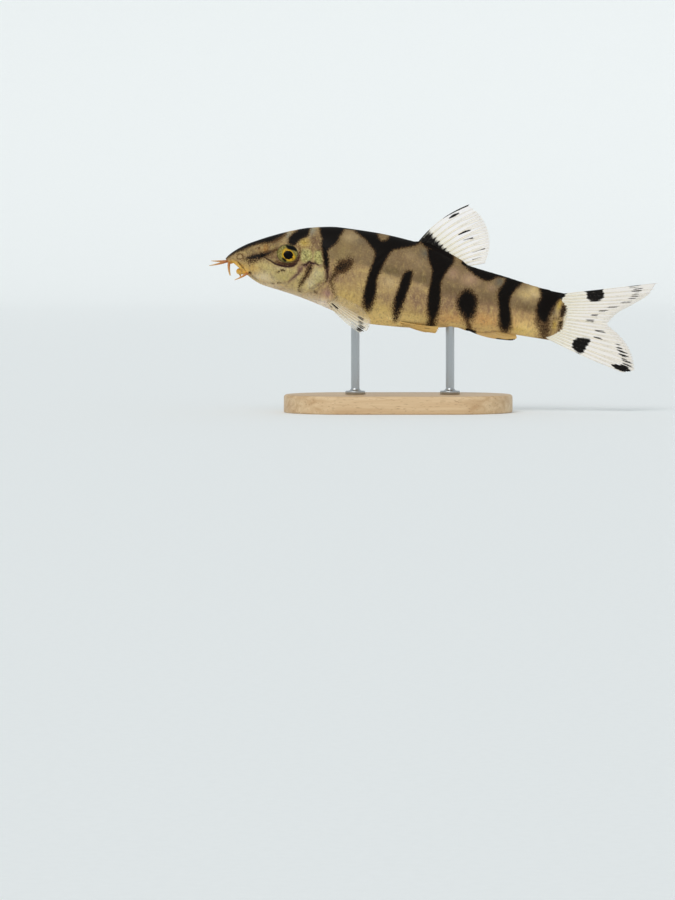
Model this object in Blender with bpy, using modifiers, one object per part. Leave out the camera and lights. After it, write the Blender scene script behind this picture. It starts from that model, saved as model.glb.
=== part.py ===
"""A yoyo loach, life size, swimming nose up on a plain display stand.

Sizes are millimetres until mesh_object() turns them to metres. The fish is shaped in a level frame of its
own: along runs from the snout to the tail (+X), side is positive on the fish's right (+Y), and height is
measured from the line between the snout's tip and the middle of the tail's root (+Z). An empty then pitches
the fish.
"""

import math

import bmesh
import bpy
import numpy as np
from mathutils import Matrix, Vector

MM = 0.001
GAP = 0.3  # kept between neighbouring pieces
MERGE = 1e-7  # points nearer than this are one, in metres
TUBE_MERGE = 1e-6

# How the fish hangs over the floor
PITCH = 9.5  # degrees, nose up
SNOUT_HEIGHT = 42.6
SNOUT_PLACE = -57.92

# Body stations: along, back, belly, half width, level of the widest part
STATIONS = (
    (3.2, 4.1, -0.75, 2.95, 1.0),
    (5.0, 5.35, -2.1, 3.65, 0.7),
    (7.5, 6.75, -3.9, 4.25, 0.3),
    (11.0, 8.55, -5.25, 4.85, 0.2),
    (16.5, 11.0, -6.0, 5.55, 0.6),
    (22.0, 12.85, -6.9, 6.1, 1.2),
    (30.0, 14.2, -8.7, 6.75, 1.6),
    (40.0, 14.4, -11.1, 7.1, 1.3),
    (50.0, 13.8, -10.6, 6.5, 1.3),
    (58.0, 12.3, -9.6, 5.7, 1.2),
    (66.0, 9.8, -8.1, 4.6, 0.8),
    (78.0, 8.2, -7.35, 3.2, 0.3),
    (88.0, 6.8, -7.3, 2.1, 0.0),
    (95.0, 6.3, -7.3, 1.25, 0.0),
)
SNOUT_TIP, TIP_LEVEL = -0.4, 0.15
SNOUT_ROUND = (0.72, 0.58)  # powers that close the snout, seen from the side and from above
BACK_SHAPE = (1.85, 1.6)  # powers of the section above its widest level
BELLY_SHAPE = (2.2, 2.0)

# Cuts that part head, trunk and tail, each as height against along
GILL_CUT = 26.0
GILL_EDGE = ((-9.0, 20.8), (-3.5, 24.6), (0.5, 28.0), (3.0, 28.0), (7.1, 25.6), (14.5, 24.6))
TRUNK_END = 66.2
TAIL_END = 95.0
TAIL_EDGE = ((-7.2, 93.0), (-3.0, 95.1), (1.3, 95.3), (6.3, 94.6))
GILL_FLARE = 0.5  # how far the gill cover stands off the shoulder
FLARE_RUN = 6.0  # length over which it lifts
FLARE_LEVEL, FLARE_RISE = 1.5, (4.0, 7.0)  # its middle, and the ways up and down at which it fades
FLARE_FADE = (0.2, 0.7)  # shares of the half width between which it fades
BEND_FROM, BEND_TO, TAIL_BEND_FROM = 11.0, 41.0, 82.0  # where sections start and cease to bend to the cuts
BEND_PASSES = 10

# Sections of the body: points around, and rows along each piece
AROUND = 36
NOSE_LENGTH, NOSE_ROWS = 3.6, (0.02, 0.08, 0.2, 0.38, 0.62, 1.0)
HEAD_FROM, HEAD_STEP = 4.4, 1.2
TRUNK_ROWS, TAIL_ROWS = 20, 12
TRUNK_FROM = GILL_CUT + GAP * 1.3
CUTTER_FROM, CUTTER_ROWS = 22.0, 34

# Soft bumps and hollows of the head: along, height, radius along, radius up, size
RELIEF = (
    (14.5, -1.6, 5.5, 2.6, 0.35),
    (24.0, 2.0, 3.4, 4.2, 0.25),
    (11.5, 2.0, 3.0, 1.0, -0.3),
    (20.5, 5.4, 1.6, 2.6, -0.2),
)
RELIEF_FADE = 0.5  # share of the half width below which they fade

EYE_ALONG, EYE_LEVEL = 16.45, 4.6
EYE_REACH = (3.25, 1.75, 2.9)  # along, out of the head, up
EYE_SINK = 0.85  # centre of the eyeball under the skin
NOSTRIL = (8.4, 4.7)  # along and height, as are the flap's
NOSTRIL_RIM, NOSTRIL_HOLE = 0.56, 0.3
RIM_SHAPE = ((-0.8, 1.15), (0.1, 1.0), (0.32, 0.85))  # rise over the skin, and share of the rim's radius
HOLE_RUN = (-0.45, 1.2)
NOSTRIL_FLAP, FLAP_REACH = (9.8, 4.75), (1.25, 0.42, 0.95)

# Lips: along, side, height, radius, for one side
UPPER_LIP = (
    (1.3, 0.0, -0.45, 0.5),
    (2.0, 1.25, -0.1, 0.48),
    (3.15, 2.1, -0.6, 0.56),
    (4.6, 2.7, -1.42, 0.62),
    (6.3, 2.9, -2.1, 0.58),
)
LOWER_LIP = (
    (3.7, 0.45, -2.45, 0.66),
    (4.1, 1.15, -2.52, 0.8),
    (4.9, 1.95, -2.55, 0.78),
    (5.7, 2.5, -2.5, 0.7),
    (6.6, 2.9, -2.3, 0.5),
)
LIP_LOBE, LIP_LOBE_REACH = (3.98, 0.95, -2.6), (0.86, 0.85, 0.86)
JAW_CENTRE, JAW_REACH = (5.7, 0.0, -2.35), (1.75, 2.35, 1.0)

# Barbels: root, middle and tip for the right side, and the radius at the root
BARBELS = {
    "rostral_inner": ((0.3, 0.85, -0.3), (-2.0, 1.6, -1.45), (-4.6, 2.3, -2.4), 0.38),
    "rostral_outer": ((0.8, 1.7, -0.2), (0.95, 2.5, -2.1), (1.7, 2.9, -4.2), 0.38),
    "maxillary": ((6.5, 3.15, -2.45), (5.1, 3.7, -3.85), (3.1, 3.9, -5.15), 0.38),
    "mandibular": ((4.6, 1.1, -2.95), (4.45, 1.3, -3.7), (4.75, 1.45, -4.45), 0.33),
}
BARBEL_POINTS, BARBEL_LEAST_STEP = 10, 0.3
BARBEL_STUB = 0.35  # fleshy root that stays on the head
STUB_SINK = (0.75, -0.45, 0.5)  # way from a barbel's root into the flesh of the right side
STUB_SHAPE = (1.1, 1.2, 1.0)  # radius of the stub, as shares of the barbel's
BARBEL_TIP, BARBEL_TAPER = 0.13, 1.6
FAR_SIDE_LIFT, FAR_SIDE_PULL = 1.4, 0.3  # the right inner barbel is held this much higher and further back

# Fins: rays, rows along a ray, and the lines from the first ray to the last through the rays' roots, their
# ends at the margin, and the push at a ray's middle that bows it
FINS = {
    "dorsal": {
        "rays": 12,
        "rows": 9,
        "root": ((51.3, 0, 12.0), (58.5, 0, 10.2), (65.0, 0, 8.4)),
        "edge": ((64.4, 0, 26.6), (68.6, 0, 23.4), (71.2, 0, 19.2), (72.0, 0, 15.0), (71.4, 0, 10.9)),
        "bow": ((-1.2, 0, 1.1), (-0.5, 0, 0.9), (0, 0, 0.2)),
    },
    "anal": {
        "rays": 7,
        "rows": 7,
        "root": ((67.6, 0, -7.3), (75.4, 0, -6.7)),
        "edge": ((79.6, 0, -9.3), (82.2, 0, -9.1), (83.6, 0, -8.2), (82.8, 0, -7.5)),
        "bow": ((-0.4, 0, -0.8), (0, 0, -0.1)),
    },
    "caudal_upper": {
        "rays": 10,
        "rows": 9,
        "edge": ((120.2, 0, 13.6), (118.6, 0, 10.4), (114.6, 0, 6.7), (110.4, 0, 3.4), (108.0, 0, 0.0)),
        "bow": ((0, 0, 0), (0, 0, -0.2), (0, 0, 0)),
    },
    "caudal_lower": {
        "rays": 10,
        "rows": 9,
        "edge": (
            (108.0, 0, -0.3),
            (111.4, 0, -2.3),
            (114.6, 0, -5.0),
            (116.8, 0, -8.6),
            (117.6, 0, -11.2),
            (115.6, 0, -12.5),
        ),
        "bow": ((0, 0, 0), (0, 0, -0.2), (0, 0, -0.3)),
    },
    "pectoral": {
        "rays": 12,
        "rows": 9,
        "root": ((28.6, 3.2, -5.9), (29.6, 3.9, -5.2), (30.6, 4.6, -4.2)),
        "edge": (
            (40.3, 14.6, -13.9),
            (42.0, 13.8, -12.2),
            (42.4, 12.0, -10.2),
            (41.2, 10.4, -8.3),
            (38.4, 9.4, -6.4),
        ),
        "bow": ((-0.8, 0.6, -0.5), (0, 0.4, 0.1)),
    },
    "pelvic": {
        "rays": 8,
        "rows": 8,
        "root": ((47.8, 3.4, -8.2), (50.6, 1.5, -8.8)),
        "edge": ((61.9, 5.0, -8.7), (61.4, 4.6, -9.6), (60.6, 4.0, -10.5), (57.4, 3.0, -10.8)),
        "bow": ((0, 0.3, -0.5), (0, 0.1, -0.3)),
    },
}
RAY_HALF, WEB_HALF = (0.5, 0.3), (0.32, 0.24)  # half thickness at the root and at the margin
CAUDAL_ROOT_HALF, CAUDAL_THINNING = 0.85, 3  # the tail fin's foot, and the power with which it thins
FORK_SHARE = 0.5  # where the tail root is shared between the lobes

# The stand
BASE_LENGTH, BASE_WIDTH, BASE_HEIGHT, BASE_EDGE = 64.0, 34.0, 5.0, 0.8
BASE_PLACE = -10.0
BASE_TURNS = 13  # points on each round end
ROD_RADIUS, ROD_FOOT, ROD_FOOT_HEIGHT = 1.2, 2.8, 1.0
ROD_FILLET = ((0.0, 0.9), (0.35, 0.25))  # the rod's curve into its foot, out of the rod and over the foot
ROD_FOOT_EDGE, ROD_STEPS = 0.3, 16
ROD_PLACES = {"front": -22.0, "rear": 4.5}
ROD_TOP = 34.0  # inside the fish, before the body's shape is cut from it

COLOURS = {
    "skin": ((0.50, 0.42, 0.26), 0.42, 0.0),
    "fin": ((0.86, 0.82, 0.72), 0.45, 0.0),
    "eye": ((0.62, 0.48, 0.08), 0.12, 0.0),
    "barbel": ((0.66, 0.30, 0.12), 0.45, 0.0),
    "base": ((0.72, 0.62, 0.48), 0.5, 0.0),
    "steel": ((0.6, 0.6, 0.6), 0.3, 1.0),
}


def clear_scene():
    for old in list(bpy.data.objects):
        bpy.data.objects.remove(old)


def new_collection(name, hidden=False):
    made = bpy.data.collections.new(name)
    made.hide_render = hidden
    bpy.context.scene.collection.children.link(made)
    return made


def material(slot):
    found = bpy.data.materials.get(slot)
    if found:
        return found
    colour, roughness, metallic = COLOURS[slot]
    made = bpy.data.materials.new(slot)
    made.use_nodes = True
    shader = made.node_tree.nodes["Principled BSDF"]
    shader.inputs["Base Color"].default_value = (*colour, 1.0)
    shader.inputs["Roughness"].default_value = roughness
    shader.inputs["Metallic"].default_value = metallic
    return made


def mesh_object(name, points, faces, slot, group, parent):
    """A closed mesh from millimetre points, with its faces turned outwards."""
    mesh = bpy.data.meshes.new(name)
    mesh.from_pydata((np.asarray(points, float) * MM).tolist(), [], faces)
    shape = bmesh.new()
    shape.from_mesh(mesh)
    bmesh.ops.recalc_face_normals(shape, faces=shape.faces)
    shape.to_mesh(mesh)
    shape.free()
    return place(bpy.data.objects.new(name, mesh), slot, group, parent)


def place(thing, slot, group, parent):
    thing.data.materials.append(material(slot))
    group.objects.link(thing)
    thing.parent = parent
    return thing


def as_helper(thing):
    thing.hide_render = True
    thing.display_type = "WIRE"
    return thing


def curve_through(rows, at, column=1):
    """Value at `at` on a smooth curve through the rows, which never overshoots them."""
    x = np.array([row[0] for row in rows], float)
    y = np.array([row[column] for row in rows], float)
    step = np.diff(x)
    slope = np.diff(y) / step
    tangent = np.zeros_like(y)
    tangent[0], tangent[-1] = slope[0], slope[-1]
    same_way = slope[:-1] * slope[1:] > 0
    inner = np.zeros(len(x) - 2)
    inner[same_way] = 2 / (1 / slope[:-1][same_way] + 1 / slope[1:][same_way])
    tangent[1:-1] = inner
    at = np.clip(at, x[0], x[-1])
    i = np.clip(np.searchsorted(x, at, side="right") - 1, 0, len(step) - 1)
    t = (at - x[i]) / step[i]
    return (
        y[i] * (1 + 2 * t) * (1 - t) ** 2
        + tangent[i] * step[i] * t * (1 - t) ** 2
        + y[i + 1] * t * t * (3 - 2 * t)
        + tangent[i + 1] * step[i] * t * t * (t - 1)
    )


def ease(value, low, high):
    """0 below low, 1 above high, and smooth between them."""
    t = np.clip((value - low) / (high - low), 0, 1)
    return t * t * (3 - 2 * t)


def section_sizes(along):
    """Back, belly, half width and widest level of the body, closed at the snout's tip."""
    back, belly, half_width, level = (curve_through(STATIONS, along, c) for c in (1, 2, 3, 4))
    share = np.clip((along - SNOUT_TIP) / (STATIONS[0][0] - SNOUT_TIP), 0, 1)
    side_share, top_share = share ** SNOUT_ROUND[0], share ** SNOUT_ROUND[1]
    back, belly, level = (TIP_LEVEL + (edge - TIP_LEVEL) * side_share for edge in (back, belly, level))
    return back, belly, half_width * top_share, level


def fullness(rise):
    """Share of the half width left at a signed share of the way to the back or the belly."""
    power = np.where(rise > 0, BACK_SHAPE[0], BELLY_SHAPE[0])
    root = np.where(rise > 0, BACK_SHAPE[1], BELLY_SHAPE[1])
    return np.clip(1 - np.abs(rise) ** power, 0, 1) ** (1 / root)


def relief(along, height):
    """Sum of the soft bumps of the head."""
    total = np.zeros(np.broadcast(along, height).shape)
    for at, level, reach, rise, size in RELIEF:
        total += size * np.exp(-(((along - at) / reach) ** 2) - ((height - level) / rise) ** 2)
    return total


def side_at(along, height):
    """Half width of the body at one place of its side view."""
    back, belly, half_width, level = section_sizes(along)
    reach = np.where(height > level, back - level, level - belly)
    share = fullness((height - level) / reach)
    return half_width * share + relief(along, height) * ease(share, 0, RELIEF_FADE)


def out_of_skin(along, height):
    """Unit vector out of the fish's right side at one place of its side view."""
    step = 0.2
    lean_along = (side_at(along + step, height) - side_at(along - step, height)) / (2 * step)
    lean_up = (side_at(along, height + step) - side_at(along, height - step)) / (2 * step)
    return Vector((-float(lean_along), 1.0, -float(lean_up))).normalized()


def on_skin(along, height, way):
    """Point on the skin of one side, and the unit vector out of it."""
    out = out_of_skin(along, height)
    return Vector((along, way * float(side_at(along, height)), height)), Vector(mirrored(out, way))


def bent(station, height):
    """Where a section really lies: sections bend to the gill cover's edge and to the tail's root."""
    gill = curve_through(GILL_EDGE, height) - GILL_CUT
    tail = curve_through(TAIL_EDGE, height) - TAIL_END
    near_gill = ease(station, BEND_FROM, GILL_CUT) * (1 - ease(station, GILL_CUT, BEND_TO))
    return station + gill * near_gill + tail * ease(station, TAIL_BEND_FROM, TAIL_END)


def body_rings(stations, grow=0.0, flare=0.0):
    """Points of the body's sections, as rings that begin under the belly."""
    turn = np.linspace(-0.5, 1.5, AROUND, endpoint=False) * math.pi
    rise = np.sin(turn)[None, :]
    way = np.sign(np.round(np.cos(turn), 6))[None, :]
    station = np.asarray(stations, float)[:, None]
    height = np.zeros((len(station), AROUND))
    for _ in range(BEND_PASSES):
        along = bent(station, height)
        back, belly, half_width, level = section_sizes(along)
        reach = np.where(rise > 0, back - level, level - belly)
        height = level + (reach + grow) * rise
    share = fullness(rise)
    side = (half_width + grow) * share + relief(along, height) * ease(share, 0, RELIEF_FADE)
    lifted = ease(station, GILL_CUT - FLARE_RUN, GILL_CUT) * ease(share, *FLARE_FADE)
    side += flare * lifted * (1 - ease(np.abs(height - FLARE_LEVEL), *FLARE_RISE))
    return np.stack([along, side * way, height], axis=2)


def ladder(ring):
    """Faces that close a left-right symmetric ring with rungs across it."""
    count = len(ring)
    top = count // 2
    faces = [(ring[0], ring[1], ring[-1])]
    faces += [(ring[i], ring[i + 1], ring[count - i - 1], ring[count - i]) for i in range(1, top - 1)]
    return faces + [(ring[top - 1], ring[top], ring[top + 1])]


def loft(rings, tip=None):
    """Points and faces of a closed body through the rings, from a tip or a flat end to a flat end."""
    rows, count = rings.shape[:2]
    points = rings.reshape(-1, 3).tolist()
    index = np.arange(rows * count).reshape(rows, count)
    faces = [
        (index[r, c], index[r, (c + 1) % count], index[r + 1, (c + 1) % count], index[r + 1, c])
        for r in range(rows - 1)
        for c in range(count)
    ]
    faces += ladder(list(index[-1]))
    if tip is None:
        faces += ladder(list(index[0]))
    else:
        points.append(tip)
        faces += [(len(points) - 1, index[0, c], index[0, (c + 1) % count]) for c in range(count)]
    return points, [tuple(int(i) for i in face) for face in faces]


def settle(thing):
    """Applies an object's modifiers and keeps only its largest closed surface."""
    bpy.context.view_layer.update()
    graph = bpy.context.evaluated_depsgraph_get()
    mesh = bpy.data.meshes.new_from_object(thing.evaluated_get(graph))
    thing.modifiers.clear()
    thing.data = mesh
    shape = bmesh.new()
    shape.from_mesh(mesh)
    bmesh.ops.remove_doubles(shape, verts=shape.verts, dist=MERGE)
    islands, seen = [], set()
    for start in shape.faces:
        if start in seen:
            continue
        seen.add(start)
        island, waiting = [], [start]
        while waiting:
            face = waiting.pop()
            island.append(face)
            for edge in face.edges:
                for other in edge.link_faces:
                    if other not in seen:
                        seen.add(other)
                        waiting.append(other)
        islands.append(island)
    sizes = [sum(face.calc_area() for face in island) for island in islands]
    for size, island in zip(sizes, islands):
        if size < max(sizes):
            bmesh.ops.delete(shape, geom=island, context="FACES")
    loose = [v for v in shape.verts if not v.link_faces]
    bmesh.ops.delete(shape, geom=loose, context="VERTS")
    shape.to_mesh(mesh)
    shape.free()
    return thing


def boolean(thing, operation, others):
    """Joins or cuts with closed meshes in one Boolean, applies it and removes them."""
    group = new_collection(thing.name + "_" + operation.lower())
    for other in others:
        for old in list(other.users_collection):
            old.objects.unlink(other)
        group.objects.link(other)
    modifier = thing.modifiers.new(operation.lower(), "BOOLEAN")
    modifier.operation = operation
    modifier.operand_type = "COLLECTION"
    modifier.collection = group
    modifier.solver = "EXACT"
    settle(thing)
    for other in others:
        bpy.data.objects.remove(other)
    bpy.data.collections.remove(group)
    return thing


def cut_by(thing, cutter):
    """Cuts with a closed mesh that stays, for other cuts."""
    modifier = thing.modifiers.new("cut", "BOOLEAN")
    modifier.operation = "DIFFERENCE"
    modifier.object = cutter
    modifier.solver = "EXACT"
    return settle(thing)


def tube(name, points, radii, slot, group, parent, sides=2):
    """A round tube through the points, as a curve with a radius at each point."""
    curve = bpy.data.curves.new(name, "CURVE")
    curve.dimensions = "3D"
    curve.bevel_depth = MM
    curve.bevel_resolution = sides
    curve.use_fill_caps = True
    line = curve.splines.new("POLY")
    line.points.add(len(points) - 1)
    for knot, point, radius in zip(line.points, points, radii):
        knot.co = (*(Vector(point) * MM), 1.0)
        knot.radius = radius
    return place(bpy.data.objects.new(name, curve), slot, group, parent)


def tube_mesh(*args, **kwargs):
    """The same tube as a closed mesh, ready for a Boolean."""
    curve = tube(*args, **kwargs)
    bpy.context.view_layer.update()
    graph = bpy.context.evaluated_depsgraph_get()
    mesh = bpy.data.meshes.new_from_object(curve.evaluated_get(graph))
    shape = bmesh.new()
    shape.from_mesh(mesh)
    bmesh.ops.remove_doubles(shape, verts=shape.verts, dist=TUBE_MERGE)
    bmesh.ops.recalc_face_normals(shape, faces=shape.faces)
    shape.to_mesh(mesh)
    shape.free()
    made = bpy.data.objects.new(curve.name + "_mesh", mesh)
    curve.users_collection[0].objects.link(made)
    made.parent = curve.parent
    bpy.data.objects.remove(curve)
    return made


def ball(name, centre, reach, slot, group, parent, normal=None, segments=20, rings=8):
    """An ellipsoid; with a normal, its middle reach lies along it and its first runs along the fish."""
    shape = bmesh.new()
    bmesh.ops.create_uvsphere(shape, u_segments=segments, v_segments=rings, radius=1.0)
    # The sphere's poles are turned to the middle reach, so that an eye looks out of a pole.
    shape.transform(Matrix.Rotation(math.radians(90), 4, "X"))
    shape.transform(Matrix.Diagonal((*(Vector(reach) * MM), 1.0)))
    if normal is not None:
        along = (Vector((1, 0, 0)) - normal * normal.x).normalized()
        shape.transform(Matrix((along, normal, along.cross(normal))).transposed().to_4x4())
    shape.transform(Matrix.Translation(Vector(centre) * MM))
    mesh = bpy.data.meshes.new(name)
    shape.to_mesh(mesh)
    shape.free()
    mesh.shade_smooth()
    return place(bpy.data.objects.new(name, mesh), slot, group, parent)


def bezier(start, control, end, count):
    """Points along a curve that leaves start towards control and arrives at end."""
    t = np.linspace(0, 1, count)[:, None]
    start, control, end = (np.asarray(p, float) for p in (start, control, end))
    return (1 - t) ** 2 * start + 2 * t * (1 - t) * control + t * t * end


def mirrored(point, way):
    return (point[0], point[1] * way, point[2])


def barbel_path(name, way):
    """Points of one barbel. The right inner one is held higher, as in life the two never match."""
    root, middle, tip, _ = BARBELS[name]
    if name == "rostral_inner" and way > 0:
        tip = (tip[0] + FAR_SIDE_PULL, tip[1], tip[2] + FAR_SIDE_LIFT)
        middle = (middle[0], middle[1], middle[2] + FAR_SIDE_LIFT / 2)
    control = 2 * np.array(middle) - (np.array(root) + np.array(tip)) / 2
    return bezier(mirrored(root, way), mirrored(control, way), mirrored(tip, way), BARBEL_POINTS)


def make_barbels(group, parent, helpers):
    """The eight barbels, and the fleshy stubs that they grow from."""
    stubs = []
    free_from = BARBEL_STUB + GAP
    for name, (_, _, _, radius) in BARBELS.items():
        for side_name, way in (("left", -1), ("right", 1)):
            path = barbel_path(name, way)
            first = path[1] - path[0]
            first /= np.linalg.norm(first)
            stub = [path[0] + mirrored(STUB_SINK, way), path[0], path[0] + first * BARBEL_STUB]
            widths = [radius * share for share in STUB_SHAPE]
            stubs.append(tube_mesh(f"stub_{name}_{side_name}", stub, widths, "skin", helpers, parent))
            start = path[0] + first * free_from
            kept = np.linalg.norm(path - path[0], axis=1) > free_from + BARBEL_LEAST_STEP
            line = np.vstack([start, path[kept]])
            share = np.linspace(0, 1, len(line))
            radii = radius + (BARBEL_TIP - radius) * share**BARBEL_TAPER
            tube(f"barbel_{name}_{side_name}", line, radii, "barbel", group, parent)
    return stubs


def make_lips(helpers, parent):
    """Upper lip, lower lip with its two lobes, and the short jaw behind them."""
    pieces = []
    arch = [mirrored(row, -1) + (row[3],) for row in UPPER_LIP[:0:-1]] + list(UPPER_LIP)
    pieces.append(smooth_tube("upper_lip", arch, helpers, parent))
    for way in (-1, 1):
        row = [mirrored(r, way) + (r[3],) for r in LOWER_LIP]
        pieces.append(smooth_tube(f"lower_lip_{way}", row, helpers, parent))
        lobe = mirrored(LIP_LOBE, way)
        pieces.append(ball(f"lobe_{way}", lobe, LIP_LOBE_REACH, "skin", helpers, parent, segments=12))
    pieces.append(ball("jaw", JAW_CENTRE, JAW_REACH, "skin", helpers, parent, segments=16))
    return pieces


def smooth_tube(name, rows, helpers, parent):
    """A tube on a smooth curve through rows of along, side, height and radius."""
    rows = np.asarray(rows, float)
    run = np.concatenate([[0], np.cumsum(np.linalg.norm(np.diff(rows[:, :3], axis=0), axis=1))])
    at = np.linspace(0, run[-1], 2 * len(rows) + 1)
    columns = [curve_through(list(zip(run, rows[:, c])), at) for c in range(4)]
    return tube_mesh(name, np.stack(columns[:3], axis=1), columns[3], "skin", helpers, parent)


def make_head(group, helpers, parent, stubs):
    """Snout to gill cover, with lips, nostrils and the hollow of each eye."""
    nose = SNOUT_TIP + NOSE_LENGTH * np.array(NOSE_ROWS)
    rows = np.concatenate([nose, np.arange(HEAD_FROM, GILL_CUT - HEAD_STEP / 2, HEAD_STEP), [GILL_CUT]])
    points, faces = loft(body_rings(rows, flare=GILL_FLARE), tip=[SNOUT_TIP, 0.0, TIP_LEVEL])
    head = mesh_object("head", points, faces, "skin", group, parent)
    pieces = make_lips(helpers, parent) + stubs
    holes = []
    for way in (-1, 1):
        foot, out = on_skin(*NOSTRIL, way)
        rim = [foot + out * rise for rise, _ in RIM_SHAPE]
        widths = [NOSTRIL_RIM * share for _, share in RIM_SHAPE]
        pieces.append(tube_mesh(f"nostril_rim_{way}", rim, widths, "skin", helpers, parent))
        flap, flap_out = on_skin(*NOSTRIL_FLAP, way)
        pieces.append(ball(f"nostril_flap_{way}", flap, FLAP_REACH, "skin", helpers, parent, flap_out, 14))
        hole = [foot + out * rise for rise in HOLE_RUN]
        holes.append(tube_mesh(f"nostril_hole_{way}", hole, [NOSTRIL_HOLE] * 2, "skin", helpers, parent))
        centre, out = eye_place(way)
        reach = [length + GAP for length in EYE_REACH]
        holes.append(ball(f"eye_hollow_{way}", centre, reach, "skin", helpers, parent, out, rings=10))
    boolean(head, "UNION", pieces)
    return boolean(head, "DIFFERENCE", holes)


def eye_place(way):
    """Centre of an eyeball, and the way it looks."""
    skin, out = on_skin(EYE_ALONG, EYE_LEVEL, way)
    return skin - out * EYE_SINK, out


def make_eyes(group, parent):
    for name, way in (("left", -1), ("right", 1)):
        centre, out = eye_place(way)
        ball(f"eye_{name}", centre, EYE_REACH, "eye", group, parent, out, rings=10)


def make_trunk_and_tail(group, parent):
    rows = np.linspace(TRUNK_FROM, TRUNK_END, TRUNK_ROWS)
    points, faces = loft(body_rings(rows))
    mesh_object("trunk", points, faces, "skin", group, parent)
    rows = np.linspace(TRUNK_END + GAP, TAIL_END, TAIL_ROWS)
    points, faces = loft(body_rings(rows))
    mesh_object("tail", points, faces, "skin", group, parent)


def body_cutter(helpers, parent):
    """The whole body, larger by the gap, which trims the fins' roots and the rods."""
    rows = np.linspace(CUTTER_FROM, TAIL_END + GAP, CUTTER_ROWS)
    points, faces = loft(body_rings(rows, grow=GAP))
    return as_helper(mesh_object("body_cutter", points, faces, "skin", helpers, parent))


def fin(name, lines, group, parent, root_half=None):
    """A fan of rays with a web between them, thicker at each ray."""
    across = 2 * lines["rays"] - 1
    rows = lines["rows"]
    share = np.linspace(0, 1, across)
    root, tip, bow = (through(lines[key], share) for key in ("root", "edge", "bow"))
    t = np.linspace(0, 1, rows)[:, None, None]
    middle = (1 - t) ** 2 * root + 2 * t * (1 - t) * ((root + tip) / 2 + bow * 2) + t * t * tip
    along, over = np.gradient(middle, axis=0), np.gradient(middle, axis=1)
    normal = np.cross(along, over)
    normal /= np.linalg.norm(normal, axis=2, keepdims=True)
    is_ray = (np.arange(across) % 2 == 0)[None, :, None]
    ray_half, web_half = ((1 - t) * foot + t * margin for foot, margin in (RAY_HALF, WEB_HALF))
    half = np.where(is_ray, ray_half, web_half)
    if root_half:
        half = half + (root_half - RAY_HALF[0]) * (1 - t) ** CAUDAL_THINNING
    front, back = middle + normal * half, middle - normal * half
    points = np.concatenate([front.reshape(-1, 3), back.reshape(-1, 3)])
    size = rows * across
    index = np.arange(size).reshape(rows, across)
    faces = []
    for r in range(rows - 1):
        for c in range(across - 1):
            a, b, d, e = (int(index[i, j]) for i, j in ((r, c), (r, c + 1), (r + 1, c), (r + 1, c + 1)))
            faces += [(a, b, e), (a, e, d), (a + size, e + size, b + size), (a + size, d + size, e + size)]
    rim = np.concatenate([index[0, :-1], index[:-1, -1], index[-1, :0:-1], index[:0:-1, 0]]).tolist()
    for a, b in zip(rim, rim[1:] + rim[:1]):
        faces += [(a, a + size, b), (b, a + size, b + size)]
    return mesh_object(name, points, faces, "fin", group, parent)


def through(points, share):
    """Places on a smooth line through the points, at shares of its length."""
    rows = np.asarray(points, float)
    run = np.concatenate([[0], np.cumsum(np.linalg.norm(np.diff(rows, axis=0), axis=1))])
    run /= run[-1]
    columns = [curve_through(list(zip(run, rows[:, c])), share) for c in range(rows.shape[1])]
    return np.stack(columns, axis=1)


def make_middle_fins(group, parent, cutter):
    """Dorsal, anal and caudal fins, which stand in the fish's middle plane."""
    for name in ("dorsal", "anal"):
        cut_by(fin(f"{name}_fin", FINS[name], group, parent), cutter)
    tail_root = [(along + GAP, 0, height) for height, along in reversed(TAIL_EDGE)]
    narrowed = GAP / 2 / (TAIL_EDGE[-1][0] - TAIL_EDGE[0][0])
    for lobe, first, last in (("upper", 0, FORK_SHARE - narrowed), ("lower", FORK_SHARE + narrowed, 1)):
        lines = dict(FINS[f"caudal_{lobe}"], root=through(tail_root, np.linspace(first, last, 5)))
        fin(f"caudal_fin_{lobe}", lines, group, parent, CAUDAL_ROOT_HALF)


def make_paired_fins(group, parent, cutter):
    """Pectoral fins spread low and outwards, and pelvic fins folded back under the belly."""
    for name in ("pectoral", "pelvic"):
        for side_name, way in (("left", -1), ("right", 1)):
            lines = dict(FINS[name])
            for key in ("root", "edge", "bow"):
                lines[key] = [mirrored(point, way) for point in FINS[name][key]]
            cut_by(fin(f"{name}_fin_{side_name}", lines, group, parent), cutter)


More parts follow.
